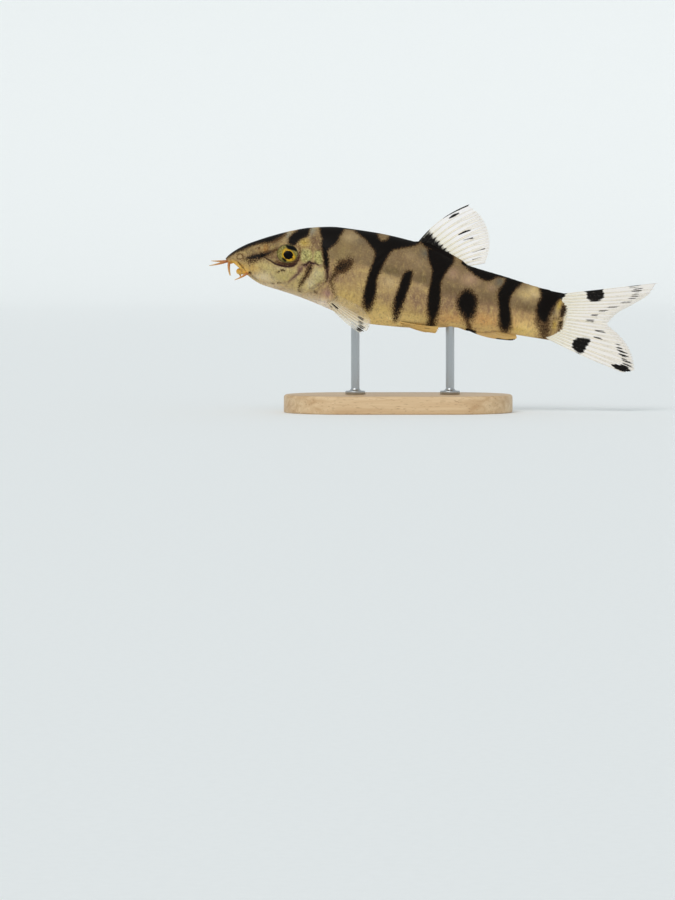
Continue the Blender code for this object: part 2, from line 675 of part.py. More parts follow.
def make_stand(group, cutter):
    """A flat base with round ends, and two steel rods cut to the belly."""
    outline = bpy.data.curves.new("stand_base", "CURVE")
    outline.dimensions = "2D"
    outline.fill_mode = "BOTH"
    outline.extrude = (BASE_HEIGHT / 2 - BASE_EDGE) * MM
    outline.bevel_depth = BASE_EDGE * MM
    outline.bevel_resolution = 1
    line = outline.splines.new("POLY")
    radius = BASE_WIDTH / 2 - BASE_EDGE
    reach = (BASE_LENGTH - BASE_WIDTH) / 2
    turns = np.linspace(-0.5, 0.5, BASE_TURNS) * math.pi
    half = [(reach + radius * math.cos(a), radius * math.sin(a)) for a in turns]
    corners = half + [(-x, -y) for x, y in half]
    line.points.add(len(corners) - 1)
    for knot, (x, y) in zip(line.points, corners):
        knot.co = (x * MM, y * MM, 0, 1)
    line.use_cyclic_u = True
    base = place(bpy.data.objects.new("stand_base", outline), "base", group, None)
    base.location = (BASE_PLACE * MM, 0, BASE_HEIGHT / 2 * MM)
    bottom = BASE_HEIGHT + GAP
    foot_top = bottom + ROD_FOOT_HEIGHT
    fillet = [(ROD_RADIUS + out, foot_top + over) for out, over in ROD_FILLET]
    profile = [(0, ROD_TOP), (ROD_RADIUS, ROD_TOP)] + fillet
    profile += [(ROD_FOOT - ROD_FOOT_EDGE, foot_top), (ROD_FOOT, foot_top - ROD_FOOT_EDGE)]
    profile += [(ROD_FOOT, bottom), (0, bottom)]
    points = [(x * MM, 0, z * MM) for x, z in profile]
    edges = [(i, i + 1) for i in range(len(profile) - 1)]
    for name, where in ROD_PLACES.items():
        mesh = bpy.data.meshes.new(f"stand_rod_{name}")
        mesh.from_pydata(points, edges, [])
        rod = place(bpy.data.objects.new(f"stand_rod_{name}", mesh), "steel", group, None)
        rod.location.x = where * MM
        screw = rod.modifiers.new("turn", "SCREW")
        screw.steps = screw.render_steps = ROD_STEPS
        screw.use_merge_vertices = True
        screw.merge_threshold = TUBE_MERGE
        screw.use_normal_calculate = True
        cut_by(settle(rod), cutter)


def main():
    clear_scene()
    group = new_collection("yoyo_loach")
    helpers = new_collection("cutters", hidden=True)
    pose = bpy.data.objects.new("pose", None)
    group.objects.link(pose)
    pose.location = (SNOUT_PLACE * MM, 0, SNOUT_HEIGHT * MM)
    pose.rotation_euler.y = math.radians(PITCH)
    stubs = make_barbels(group, pose, helpers)
    make_head(group, helpers, pose, stubs)
    make_eyes(group, pose)
    make_trunk_and_tail(group, pose)
    cutter = body_cutter(helpers, pose)
    make_middle_fins(group, pose, cutter)
    make_paired_fins(group, pose, cutter)
    make_stand(group, cutter)


main()
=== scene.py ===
import math

import bpy
import numpy as np
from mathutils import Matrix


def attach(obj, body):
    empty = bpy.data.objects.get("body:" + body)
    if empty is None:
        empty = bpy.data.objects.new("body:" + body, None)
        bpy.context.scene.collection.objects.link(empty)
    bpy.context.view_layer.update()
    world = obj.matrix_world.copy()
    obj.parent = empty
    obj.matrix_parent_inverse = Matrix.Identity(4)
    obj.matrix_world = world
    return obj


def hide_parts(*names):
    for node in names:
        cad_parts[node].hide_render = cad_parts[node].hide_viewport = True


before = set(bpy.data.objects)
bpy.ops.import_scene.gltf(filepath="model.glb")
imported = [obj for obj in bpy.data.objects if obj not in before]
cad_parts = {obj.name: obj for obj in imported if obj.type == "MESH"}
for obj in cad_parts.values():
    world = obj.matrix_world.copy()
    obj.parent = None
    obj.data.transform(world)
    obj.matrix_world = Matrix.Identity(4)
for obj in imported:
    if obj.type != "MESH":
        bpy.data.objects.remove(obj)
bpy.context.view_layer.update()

# The looks of a still yoyo loach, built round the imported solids.
# Shapes are worked out in millimetres in the fish's own level frame: along, side and height.
# toWorld turns them to metres in the row frame, so each finished piece sits at the origin.

mm = 0.001
print("frame loaded with", len(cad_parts), "solids")

# How the fish hangs over the floor, as in the solids
pose = {"pitch": 9.5, "snoutPlace": -57.92, "snoutHeight": 42.6}
sides = (("left", -1), ("right", 1))


def toWorld(points):
    # turned by the pitch about the side axis, moved to the snout's place, and scaled to metres
    turn = math.radians(pose["pitch"])
    along, side, height = np.moveaxis(np.asarray(points, float), -1, 0)
    x = pose["snoutPlace"] + along * math.cos(turn) + height * math.sin(turn)
    z = pose["snoutHeight"] - along * math.sin(turn) + height * math.cos(turn)
    return np.stack([x, side, z], axis=-1) * mm


def ease(value, low, high):
    # 0 below low, 1 above high, and smooth between them
    t = np.clip((value - low) / (high - low), 0, 1)
    return t * t * (3 - 2 * t)


def bell(value, reach):
    # 1 in the middle, falling off on both sides as a normal curve
    return np.exp(-((value / reach) ** 2))


def smoothCurve(rows, at, column=1):
    # a cubic through the rows, whose slopes are harmonic means, so it never overshoots them
    rows = np.asarray(rows, float)
    x, y = rows[:, 0], rows[:, column]
    step = np.diff(x)
    slope = np.diff(y) / step
    tangent = np.zeros_like(y)
    tangent[0], tangent[-1] = slope[0], slope[-1]
    sameWay = slope[:-1] * slope[1:] > 0
    tangent[1:-1][sameWay] = 2 / (1 / slope[:-1][sameWay] + 1 / slope[1:][sameWay])
    at = np.clip(at, x[0], x[-1])
    i = np.clip(np.searchsorted(x, at, side="right") - 1, 0, len(step) - 1)
    t = (at - x[i]) / step[i]
    ends = y[i] * (1 + 2 * t) * (1 - t) ** 2 + y[i + 1] * t * t * (3 - 2 * t)
    return ends + step[i] * (tangent[i] * t * (1 - t) ** 2 + tangent[i + 1] * t * t * (t - 1))


def runningSum(steps):
    return np.concatenate([[0], np.cumsum(steps)])


def lineThrough(points, share):
    # places on a smooth line through the points, evenly spaced by the length between them
    rows = np.asarray(points, float)
    run = runningSum(np.linalg.norm(np.diff(rows[:, :3], axis=0), axis=1))
    table = np.column_stack([run / run[-1], rows])
    return np.stack([smoothCurve(table, share, c) for c in range(1, table.shape[1])], axis=-1)


def unit(vectors):
    return vectors / np.linalg.norm(vectors, axis=-1, keepdims=True)


def mirrored(points, way):
    return np.asarray(points, float) * (1, way, 1)


def bentLine(start, control, end, t):
    # a curve that leaves its start towards the control point and comes into its end from there
    return (1 - t) ** 2 * start + 2 * t * (1 - t) * control + t * t * end


def fullTurn(count):
    return np.linspace(0, 2 * math.pi, count, endpoint=False)[None, :]


def outward(points, faces):
    # every face is turned round if the volume that they close comes out negative
    fans = [f[:, [0, k, k + 1]] for f in faces for k in range(1, f.shape[1] - 1)]
    a, b, c = np.moveaxis(points[np.concatenate(fans)], 1, 0)
    inside = np.einsum("ij,ij->i", a, np.cross(b, c)).sum() > 0
    return faces if inside else [f[:, ::-1] for f in faces]


def ringSurface(rings, startPole, endPole):
    # neighbouring rings are joined by quads, and each end is closed by a fan to its pole
    count, around = rings.shape[:2]
    here = np.arange(count * around).reshape(count, around)
    beside = np.roll(here, -1, axis=1)
    quads = np.stack([here[:-1], beside[:-1], beside[1:], here[1:]], axis=-1).reshape(-1, 4)
    points = np.concatenate([rings.reshape(-1, 3), [startPole, endPole]])
    first = np.full(around, count * around)
    start = np.column_stack([first, beside[0], here[0]])
    end = np.column_stack([first + 1, here[-1], beside[-1]])
    return points, outward(points, [quads, np.concatenate([start, end])])


def tubeSurface(path, radii, around=24):
    # a circle of the given radius carried along the path, square to it
    path = np.asarray(path, float)
    way = unit(np.gradient(path, axis=0))
    least = np.eye(3)[np.argmin(np.abs(way).mean(axis=0))]
    across = unit(np.cross(way, least))
    over = np.cross(way, across)
    turn = fullTurn(around)[..., None]
    spoke = across[:, None] * np.cos(turn) + over[:, None] * np.sin(turn)
    rings = path[:, None] + spoke * np.asarray(radii, float)[:, None, None]
    return ringSurface(rings, path[0], path[-1])


def rowTube(row, count, way=1):
    # a tube along a smooth line through points that each hold a radius
    line = lineThrough(row, np.linspace(0, 1, count))
    return tubeSurface(mirrored(line[:, :3], way), line[:, 3])


def ballSurface(centre, reach, axes=np.eye(3), around=36, rings=20):
    # an ellipsoid from two angles, with its poles on the second axis
    tilt = (np.linspace(0, math.pi, rings + 2)[1:-1])[:, None, None]
    turn = fullTurn(around)[..., None]
    shape = (
        axes[1] * reach[1] * np.cos(tilt)
        + axes[0] * reach[0] * np.sin(tilt) * np.cos(turn)
        + axes[2] * reach[2] * np.sin(tilt) * np.sin(turn)
    )
    centre = np.asarray(centre, float)
    return ringSurface(centre + shape, centre + axes[1] * reach[1], centre - axes[1] * reach[1])


def setField(mesh, name, values):
    # one number for each point, which a material reads by this name
    field = mesh.attributes.new(name, "FLOAT", "POINT")
    field.data.foreach_set("value", np.asarray(values, np.float32).ravel())


def makeMesh(name, points, faces, fields=None):
    # the arrays go straight into the mesh
    mesh = bpy.data.meshes.new(name)
    corners = np.concatenate([f.reshape(-1) for f in faces])
    sizes = np.concatenate([np.full(len(f), f.shape[1]) for f in faces])
    mesh.vertices.add(len(points))
    mesh.vertices.foreach_set("co", np.asarray(points, np.float32).ravel())
    mesh.loops.add(len(corners))
    mesh.loops.foreach_set("vertex_index", corners.astype(np.int32))
    mesh.polygons.add(len(sizes))
    mesh.polygons.foreach_set("loop_start", runningSum(sizes)[:-1].astype(np.int32))
    mesh.update(calc_edges=True)
    mesh.shade_smooth()
    for field, values in (fields or {}).items():
        setField(mesh, field, values)
    return mesh


def addObject(name, data):
    made = bpy.data.objects.new(name, data)
    bpy.context.scene.collection.objects.link(made)
    return made


def addPiece(name, mesh, material, slot, *replaced):
    piece = addObject(name, mesh)
    mesh.materials.append(material)
    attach(piece, "root")
    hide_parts(*replaced)


def linear(code):
    # an sRGB hex colour as linear red, green, blue and full alpha
    parts = [int(code[i:i + 2], 16) / 255 for i in (1, 3, 5)]
    return (*[p / 12.92 if p <= 0.04045 else ((p + 0.055) / 1.055) ** 2.4 for p in parts], 1.0)


# The output that is read of those kinds of node where it isn't the first one
mainOutput = {"Mix": 2, "Attribute": "Fac", "TexCoord": "Object"}


def addNode(tree, kind, values):
    # a node whose properties and sockets get values, hex colours or other nodes' outputs
    node = tree.nodes.new("ShaderNode" + kind)
    for key, value in values.items():
        if isinstance(value, bpy.types.NodeSocket):
            tree.links.new(value, node.inputs[key])
        elif isinstance(key, str) and hasattr(node, key):
            setattr(node, key, value)
        else:
            node.inputs[key].default_value = linear(value) if isinstance(value, str) else value
    return node.outputs[mainOutput.get(kind, 0)]


def newMaterial(name, settings):
    # a Principled material with the given values on its own sockets, its tree and the place on the object
    material = bpy.data.materials.new(name)
    material.use_nodes = True
    tree = material.node_tree
    for key, value in settings.items():
        tree.nodes["Principled BSDF"].inputs[key].default_value = value
    return material, tree, addNode(tree, "TexCoord", {})


def paintLayers(tree, colour, layers):
    # each layer's colour covers what lies under it as far as its mask says
    for mask, tone in layers:
        colour = addNode(tree, "Mix", {"data_type": "RGBA", 0: mask, 6: colour, 7: tone})
    return colour


def feedShader(tree, sockets, height, strength, depth):
    # outputs reach the shader's sockets, and a relief of the given depth in mm reaches its normal
    bump = {"Strength": strength, "Distance": depth * mm, "Height": height}
    sockets["Normal"] = addNode(tree, "Bump", bump)
    for key, source in sockets.items():
        tree.links.new(source, tree.nodes["Principled BSDF"].inputs[key])


# The body, with the solids' own stations: along, back, belly, half width, level of the widest part
body = {
    "stations": [
        (3.2, 4.1, -0.75, 2.95, 1.0),
        (5.0, 5.35, -2.1, 3.65, 0.7),
        (7.5, 6.75, -3.9, 4.25, 0.3),
        (11.0, 8.55, -5.25, 4.85, 0.2),
        (16.5, 11.0, -6.0, 5.55, 0.6),
        (22.0, 12.85, -6.9, 6.1, 1.2),
        (30.0, 14.2, -8.7, 6.75, 1.6),
        (40.0, 14.4, -11.1, 7.1, 1.3),
        (50.0, 13.8, -10.6, 6.5, 1.3),
        (58.0, 12.3, -9.6, 5.7, 1.2),
        (66.0, 9.8, -8.1, 4.6, 0.8),
        (78.0, 8.2, -7.35, 3.2, 0.3),
        (88.0, 6.8, -7.3, 2.1, 0.0),
        (95.0, 6.3, -7.3, 1.25, 0.0),
    ],
    "tip": (-0.4, 0.15),  # along and height of the snout's tip
    "snoutRound": (0.72, 0.58),
    "backShape": (1.85, 1.6),
    "bellyShape": (2.2, 2.0),
    "tailEdge": [(-7.2, 93.0), (-3.0, 95.1), (1.3, 95.3), (6.3, 94.6)],  # height, along
    "tailEnd": 95.0,
    "tailOver": 1.3,  # how far the flesh runs over the tail fin's rays
    "tailThin": 0.7,  # share of its width that it loses on the way
    "noseLength": 3.6,  # where the rings lie closer, at the snout and at the tail's end
    "tailRound": 2.0,
    "spacing": 0.35,
    "around": 240,
    "bumps": [  # along, height, radius along, radius up, size
        (14.5, -1.6, 5.5, 2.6, 0.35),
        (24.0, 2.0, 3.4, 4.2, 0.25),
        (11.5, 2.0, 3.0, 1.0, -0.3),
        (20.5, 5.4, 1.6, 2.6, -0.2),
    ],
}


def bodySizes(along):
    # back, belly, half width and widest level, which powers close at the snout's tip
    back, belly, half, level = (smoothCurve(body["stations"], along, c) for c in (1, 2, 3, 4))
    tipAlong, tipLevel = body["tip"]
    share = np.clip((along - tipAlong) / (body["stations"][0][0] - tipAlong), 0, 1)
    fromSide, fromTop = share ** body["snoutRound"][0], share ** body["snoutRound"][1]
    back, belly, level = (tipLevel + (edge - tipLevel) * fromSide for edge in (back, belly, level))
    return back, belly, half * fromTop, level


def fullness(rise):
    # share of the half width left at a signed share of the way to the back or the belly
    above = rise > 0
    power = np.where(above, body["backShape"][0], body["bellyShape"][0])
    root = np.where(above, body["backShape"][1], body["bellyShape"][1])
    return np.clip(1 - np.abs(rise) ** power, 0, 1) ** (1 / root)


def bumps(along, height):
    total = np.zeros(np.broadcast(along, height).shape)
    for at, level, reach, rise, size in body["bumps"]:
        total += size * np.exp(-(((along - at) / reach) ** 2) - ((height - level) / rise) ** 2)
    return total


def sideAt(along, height):
    # half width of the body at one place of its side view
    back, belly, half, level = bodySizes(along)
    reach = np.where(height > level, back - level, level - belly)
    share = fullness((height - level) / reach)
    return half * share + bumps(along, height) * ease(share, 0, 0.5)


def skinFrame(at, way, step=0.2):
    # a point on the skin of one side, and its axes: along the skin, out of it and square to both
    along, height = at
    leanAlong = float(sideAt(along + step, height) - sideAt(along - step, height)) / (2 * step)
    leanUp = float(sideAt(along, height + step) - sideAt(along, height - step)) / (2 * step)
    out = unit(mirrored((-leanAlong, 1.0, -leanUp), way))
    lean = unit(np.array([1.0, 0, 0]) - out * out[0])
    foot = mirrored((along, float(sideAt(along, height)), height), way)
    return foot, np.array([lean, out, np.cross(lean, out)])


def bodySurface():
    # rings of the section's formula, from the snout to the flesh that thins over the tail fin
    turn = np.linspace(-0.5, 1.5, body["around"], endpoint=False)[None, :] * math.pi
    rise = np.sin(turn)
    nose = body["tip"][0] + body["noseLength"] * np.linspace(0.06, 1, 26) ** 2
    end = body["tailEnd"] + body["tailOver"]
    last = end - body["tailRound"] * (1 - np.sin(np.linspace(0, 0.5, 12) * math.pi))
    middle = np.arange(nose[-1] + body["spacing"], last[0], body["spacing"])
    station = np.concatenate([nose, middle, last])[:, None]
    thin = np.sqrt(np.clip(1 - np.clip((station - last[0]) / (body["tailRound"] + 0.02), 0, 1) ** 2, 0, 1))
    height = np.zeros((len(station), body["around"]))
    for _ in range(8):  # a ring leans with the tail's edge at its own height, which settles in a few rounds
        tail = smoothCurve(body["tailEdge"], height) - body["tailEnd"]
        along = station + tail * ease(station, 82, body["tailEnd"])
        back, belly, half, level = bodySizes(along)
        reach = np.where(rise > 0, back - level, level - belly)
        height = level + reach * rise * (0.9 + 0.1 * thin)
    share = fullness(rise)
    side = half * share * (0.25 + 0.75 * thin) + bumps(along, height) * ease(share, 0, 0.5)
    side = side * (1 - body["tailThin"] * ease(station, 89, end))
    rings = np.stack([along, side * np.sign(np.round(np.cos(turn), 6)), height], axis=2)
    return ringSurface(rings, (body["tip"][0], 0, body["tip"][1]), rings[-1].mean(axis=0))


# Mouth parts, nostrils and barbels, as in the solids: along, side, height, radius
mouth = {
    "upperLip": [
        (1.3, 0.0, -0.45, 0.5),
        (2.0, 1.25, -0.1, 0.48),
        (3.15, 2.1, -0.6, 0.56),
        (4.6, 2.7, -1.42, 0.62),
        (6.3, 2.9, -2.1, 0.58),
    ],
    "lowerLip": [
        (3.7, 0.45, -2.45, 0.66),
        (4.1, 1.15, -2.52, 0.8),
        (4.9, 1.95, -2.55, 0.78),
        (5.7, 2.5, -2.5, 0.7),
        (6.6, 2.9, -2.3, 0.5),
    ],
    "lobe": ((3.98, 0.95, -2.6), (0.86, 0.85, 0.86)),
    "jaw": ((5.7, 0.0, -2.35), (1.75, 2.35, 1.0)),
}
nostril = {"at": (8.4, 4.7), "rim": 0.48, "hole": 0.16, "flap": (9.8, 4.75), "flapReach": (1.35, 0.46, 1.1)}
barbels = {
    "rostral_inner": [(0.3, 0.85, -0.3), (-2.0, 1.6, -1.45), (-4.6, 2.3, -2.4), 0.34],
    "rostral_outer": [(0.8, 1.7, -0.2), (0.95, 2.5, -2.1), (1.7, 2.9, -4.2), 0.36],
    "maxillary": [(6.5, 3.15, -2.45), (5.1, 3.7, -3.85), (3.1, 3.9, -5.15), 0.33],
    "mandibular": [(4.6, 1.1, -2.95), (4.45, 1.3, -3.65), (4.75, 1.45, -4.3), 0.27],
}
barbelStyle = {"tip": 0.07, "stub": 0.35, "sink": (0.75, -0.45, 0.5), "rightLift": 1.4}


def barbelPath(name, way, count):
    # a bent line through the middle point; the right inner one is held higher
    root, middle, tip = (mirrored(p, way) for p in barbels[name][:3])
    if name == "rostral_inner" and way > 0:
        tip = tip + (0.3, 0, barbelStyle["rightLift"])
        middle = middle + (0, 0, barbelStyle["rightLift"] / 2)
    return bentLine(root, 2 * middle - (root + tip) / 2, tip, np.linspace(0, 1, count)[:, None])


# The eyes: place on the head, the ball's reach along, out and up, how deep its centre lies, and its rings
eye = {
    "at": (16.45, 4.54),
    "reach": (3.34, 1.78, 2.95),
    "opening": (3.03, 2.66),  # what the skin leaves free, along and up
    "sink": 0.8,
    "pupil": 1.3,
    "gold": 1.86,
    "lobes": 0.34,  # how unevenly the gold ring ends
    "pupilShift": (0.47, -0.6),  # along and up from the middle of the eye
}


def eyeFrame(way):
    # centre of the ball, and its axes: along the head, out of it and up
    skin, (along, out, up) = skinFrame(eye["at"], way)
    return skin - out * eye["sink"], np.array([along, out, up if up[2] > 0 else -up])


# Fleshy bases where the fins leave the body: points with a radius
finBases = {
    "dorsal": [
        (50.0, 0, 13.1, 0.5), (53.5, 0, 13.1, 1.0), (58.5, 0, 12.0, 0.9), (64.5, 0, 10.1, 0.7),
        (66.5, 0, 9.3, 0.4),
    ],
    "anal": [(66.5, 0, -7.5, 0.5), (70.0, 0, -7.75, 0.75), (75.0, 0, -7.5, 0.7), (77.5, 0, -7.0, 0.4)],
    "pectoral": [
        (27.6, 3.6, -6.4, 0.7), (29.2, 4.4, -6.0, 1.25), (30.6, 5.2, -5.2, 1.1), (31.6, 5.4, -4.2, 0.6),
    ],
    "pelvic": [
        (47.0, 3.6, -8.6, 0.6), (48.6, 3.6, -8.7, 1.0), (50.6, 2.6, -9.4, 0.9), (52.0, 2.2, -9.7, 0.5),
    ],
}


def fleshSurfaces():
    # every closed surface that the skin wraps
    arch = [np.append(mirrored(p[:3], -1), p[3]) for p in mouth["upperLip"][:0:-1]] + mouth["upperLip"]
    parts = [bodySurface(), rowTube(arch, 60), ballSurface(*mouth["jaw"])]
    for name, row in finBases.items():
        for way in ((1,) if name in ("dorsal", "anal") else (-1, 1)):
            parts.append(rowTube(row, 40, way))
    for _, way in sides:
        parts.append(rowTube(mouth["lowerLip"], 40, way))
        parts.append(ballSurface(mirrored(mouth["lobe"][0], way), mouth["lobe"][1]))
        foot, axes = skinFrame(nostril["at"], way)
        rim = foot + axes[1] * np.linspace(-0.8, 0.32, 12)[:, None]
        parts.append(tubeSurface(rim, nostril["rim"] * np.linspace(1.25, 0.85, 12)))
        flap, axes = skinFrame(nostril["flap"], way)
        parts.append(ballSurface(flap, nostril["flapReach"], axes))
        for name, row in barbels.items():
            path = barbelPath(name, way, 40)
            first = unit(path[1] - path[0])
            sunk = path[0] + mirrored(barbelStyle["sink"], way)
            knots = [sunk, path[0], path[0] + first * barbelStyle["stub"], path[0] + first * 0.8]
            parts.append(rowTube(np.column_stack([knots, row[3] * np.array([1.2, 1.3, 1.12, 0.8])]), 20))
    return parts


# The skin's mesh: voxel in mm, the head's finer share, and rounds of smoothing
skinMesh = {"voxel": 0.3, "headFiner": 1.65, "headTo": (22, 34), "rounds": 5}


def stretched(along):
    # running length in which the head is drawn out, so that equal voxels are finer there
    steps = np.linspace(-12, 130, 1500)
    scale = skinMesh["headFiner"] + (1 - skinMesh["headFiner"]) * ease(steps, *skinMesh["headTo"])
    run = runningSum((scale[1:] + scale[:-1]) / 2 * np.diff(steps))
    return np.interp(along, steps, run), steps, run, scale


def smoothPoints(points, edges, rounds, pull=0.5, push=-0.52):
    # each round moves a point towards the mean of its neighbours, then back by a little more
    ends = np.concatenate([edges, edges[:, ::-1]])
    count = np.bincount(ends[:, 0], minlength=len(points))[:, None]
    for share in (pull, push) * rounds:
        sums = [np.bincount(ends[:, 0], column, len(points)) for column in points[ends[:, 1]].T]
        points = points + share * (np.stack(sums, axis=1) / count - points)
    return points


def readPoints(mesh, what="vertices", key="co", width=3):
    values = np.empty(len(getattr(mesh, what)) * width, np.float32 if key != "vertices" else np.int32)
    getattr(mesh, what).foreach_get(key, values)
    return values.reshape(-1, width)


def wrapFlesh(parts):
    # the parts are drawn out at the head, joined by a voxel remesh, and drawn back
    points, faces, start = [], [], 0
    for partPoints, partFaces in parts:
        faces += [f + start for f in partFaces]
        points.append(partPoints)
        start += len(partPoints)
    points = np.concatenate(points)
    run, steps, runs, scale = stretched(points[:, 0])
    size = np.interp(points[:, 0], steps, scale)
    drawn = np.column_stack([run, points[:, 1] * size, points[:, 2] * size])
    rough = addObject("rough", makeMesh("rough", drawn, faces))
    wrap = rough.modifiers.new("wrap", "REMESH")
    wrap.mode = "VOXEL"
    wrap.voxel_size = skinMesh["voxel"]
    bpy.context.view_layer.update()
    mesh = bpy.data.meshes.new_from_object(rough.evaluated_get(bpy.context.evaluated_depsgraph_get()))
    bpy.data.objects.remove(rough)
    edges = readPoints(mesh, "edges", "vertices", 2)
    drawn = smoothPoints(readPoints(mesh).astype(float), edges, skinMesh["rounds"])
    along = np.interp(drawn[:, 0], runs, steps)
    size = np.interp(along, steps, scale)
    return mesh, np.column_stack([along, drawn[:, 1] / size, drawn[:, 2] / size])


def strokeDistance(u, w, row):
    # least distance to a chain of round-ended strokes, whose radius, if given, runs from point to point
    best = np.full(u.shape, 99.0)
    row = [(*point, 0.0)[:3] for point in row]
    for (u0, w0, r0), (u1, w1, r1) in zip(row, row[1:]):
        du, dw = u1 - u0, w1 - w0
        t = np.clip(((u - u0) * du + (w - w0) * dw) / (du * du + dw * dw), 0, 1)
        gap = np.hypot(u - u0 - t * du, w - w0 - t * dw)
        best = np.minimum(best, gap - (r0 + (r1 - r0) * t))
    return best


def outlineDistance(u, w, corners, rounds=2):
    # each round cuts every corner off at a quarter of its two edges; then it is the distance to the nearest
    # edge, negative where a ray crosses the outline an odd number of times
    ring = np.asarray(corners, float)
    for _ in range(rounds):
        after = np.roll(ring, -1, axis=0)
        ring = np.stack([0.75 * ring + 0.25 * after, 0.25 * ring + 0.75 * after], axis=1).reshape(-1, 2)
    ring = np.concatenate([ring, ring[:1]])
    inside = np.zeros(u.shape, bool)
    for (u0, w0), (u1, w1) in zip(ring, ring[1:]):
        if w0 != w1:
            inside ^= ((w0 > w) != (w1 > w)) & (u < (u1 - u0) * (w - w0) / (w1 - w0) + u0)
    return np.where(inside, -1, 1) * strokeDistance(u, w, ring)


def coverage(u, w, marks, edge, fray=None, strokeEdge=0.36):
    # 1 inside a mark, 0 outside, 0.5 on its edge; fray widens an outline's edge downwards
    total = np.zeros(u.shape)
    for soft, strength, points in marks.values():
        row = np.array([p[:2] for p in points])
        low, high = row.min(axis=0) - 3, row.max(axis=0) + 3
        near = (u > low[0]) & (u < high[0]) & (w > low[1]) & (w < high[1])
        x, y = u[near], w[near]
        if len(points[0]) == 2:
            gap = outlineDistance(x, y, points)
            soft = edge * soft + (fray[2] * ease(-y, fray[0], fray[1]) if fray else 0)
        else:
            gap = strokeDistance(x, y, points)
            soft = edge * strokeEdge * soft
        total[near] = np.maximum(total[near], strength * np.clip(0.5 - gap / (2 * soft), 0, 1))
    return total


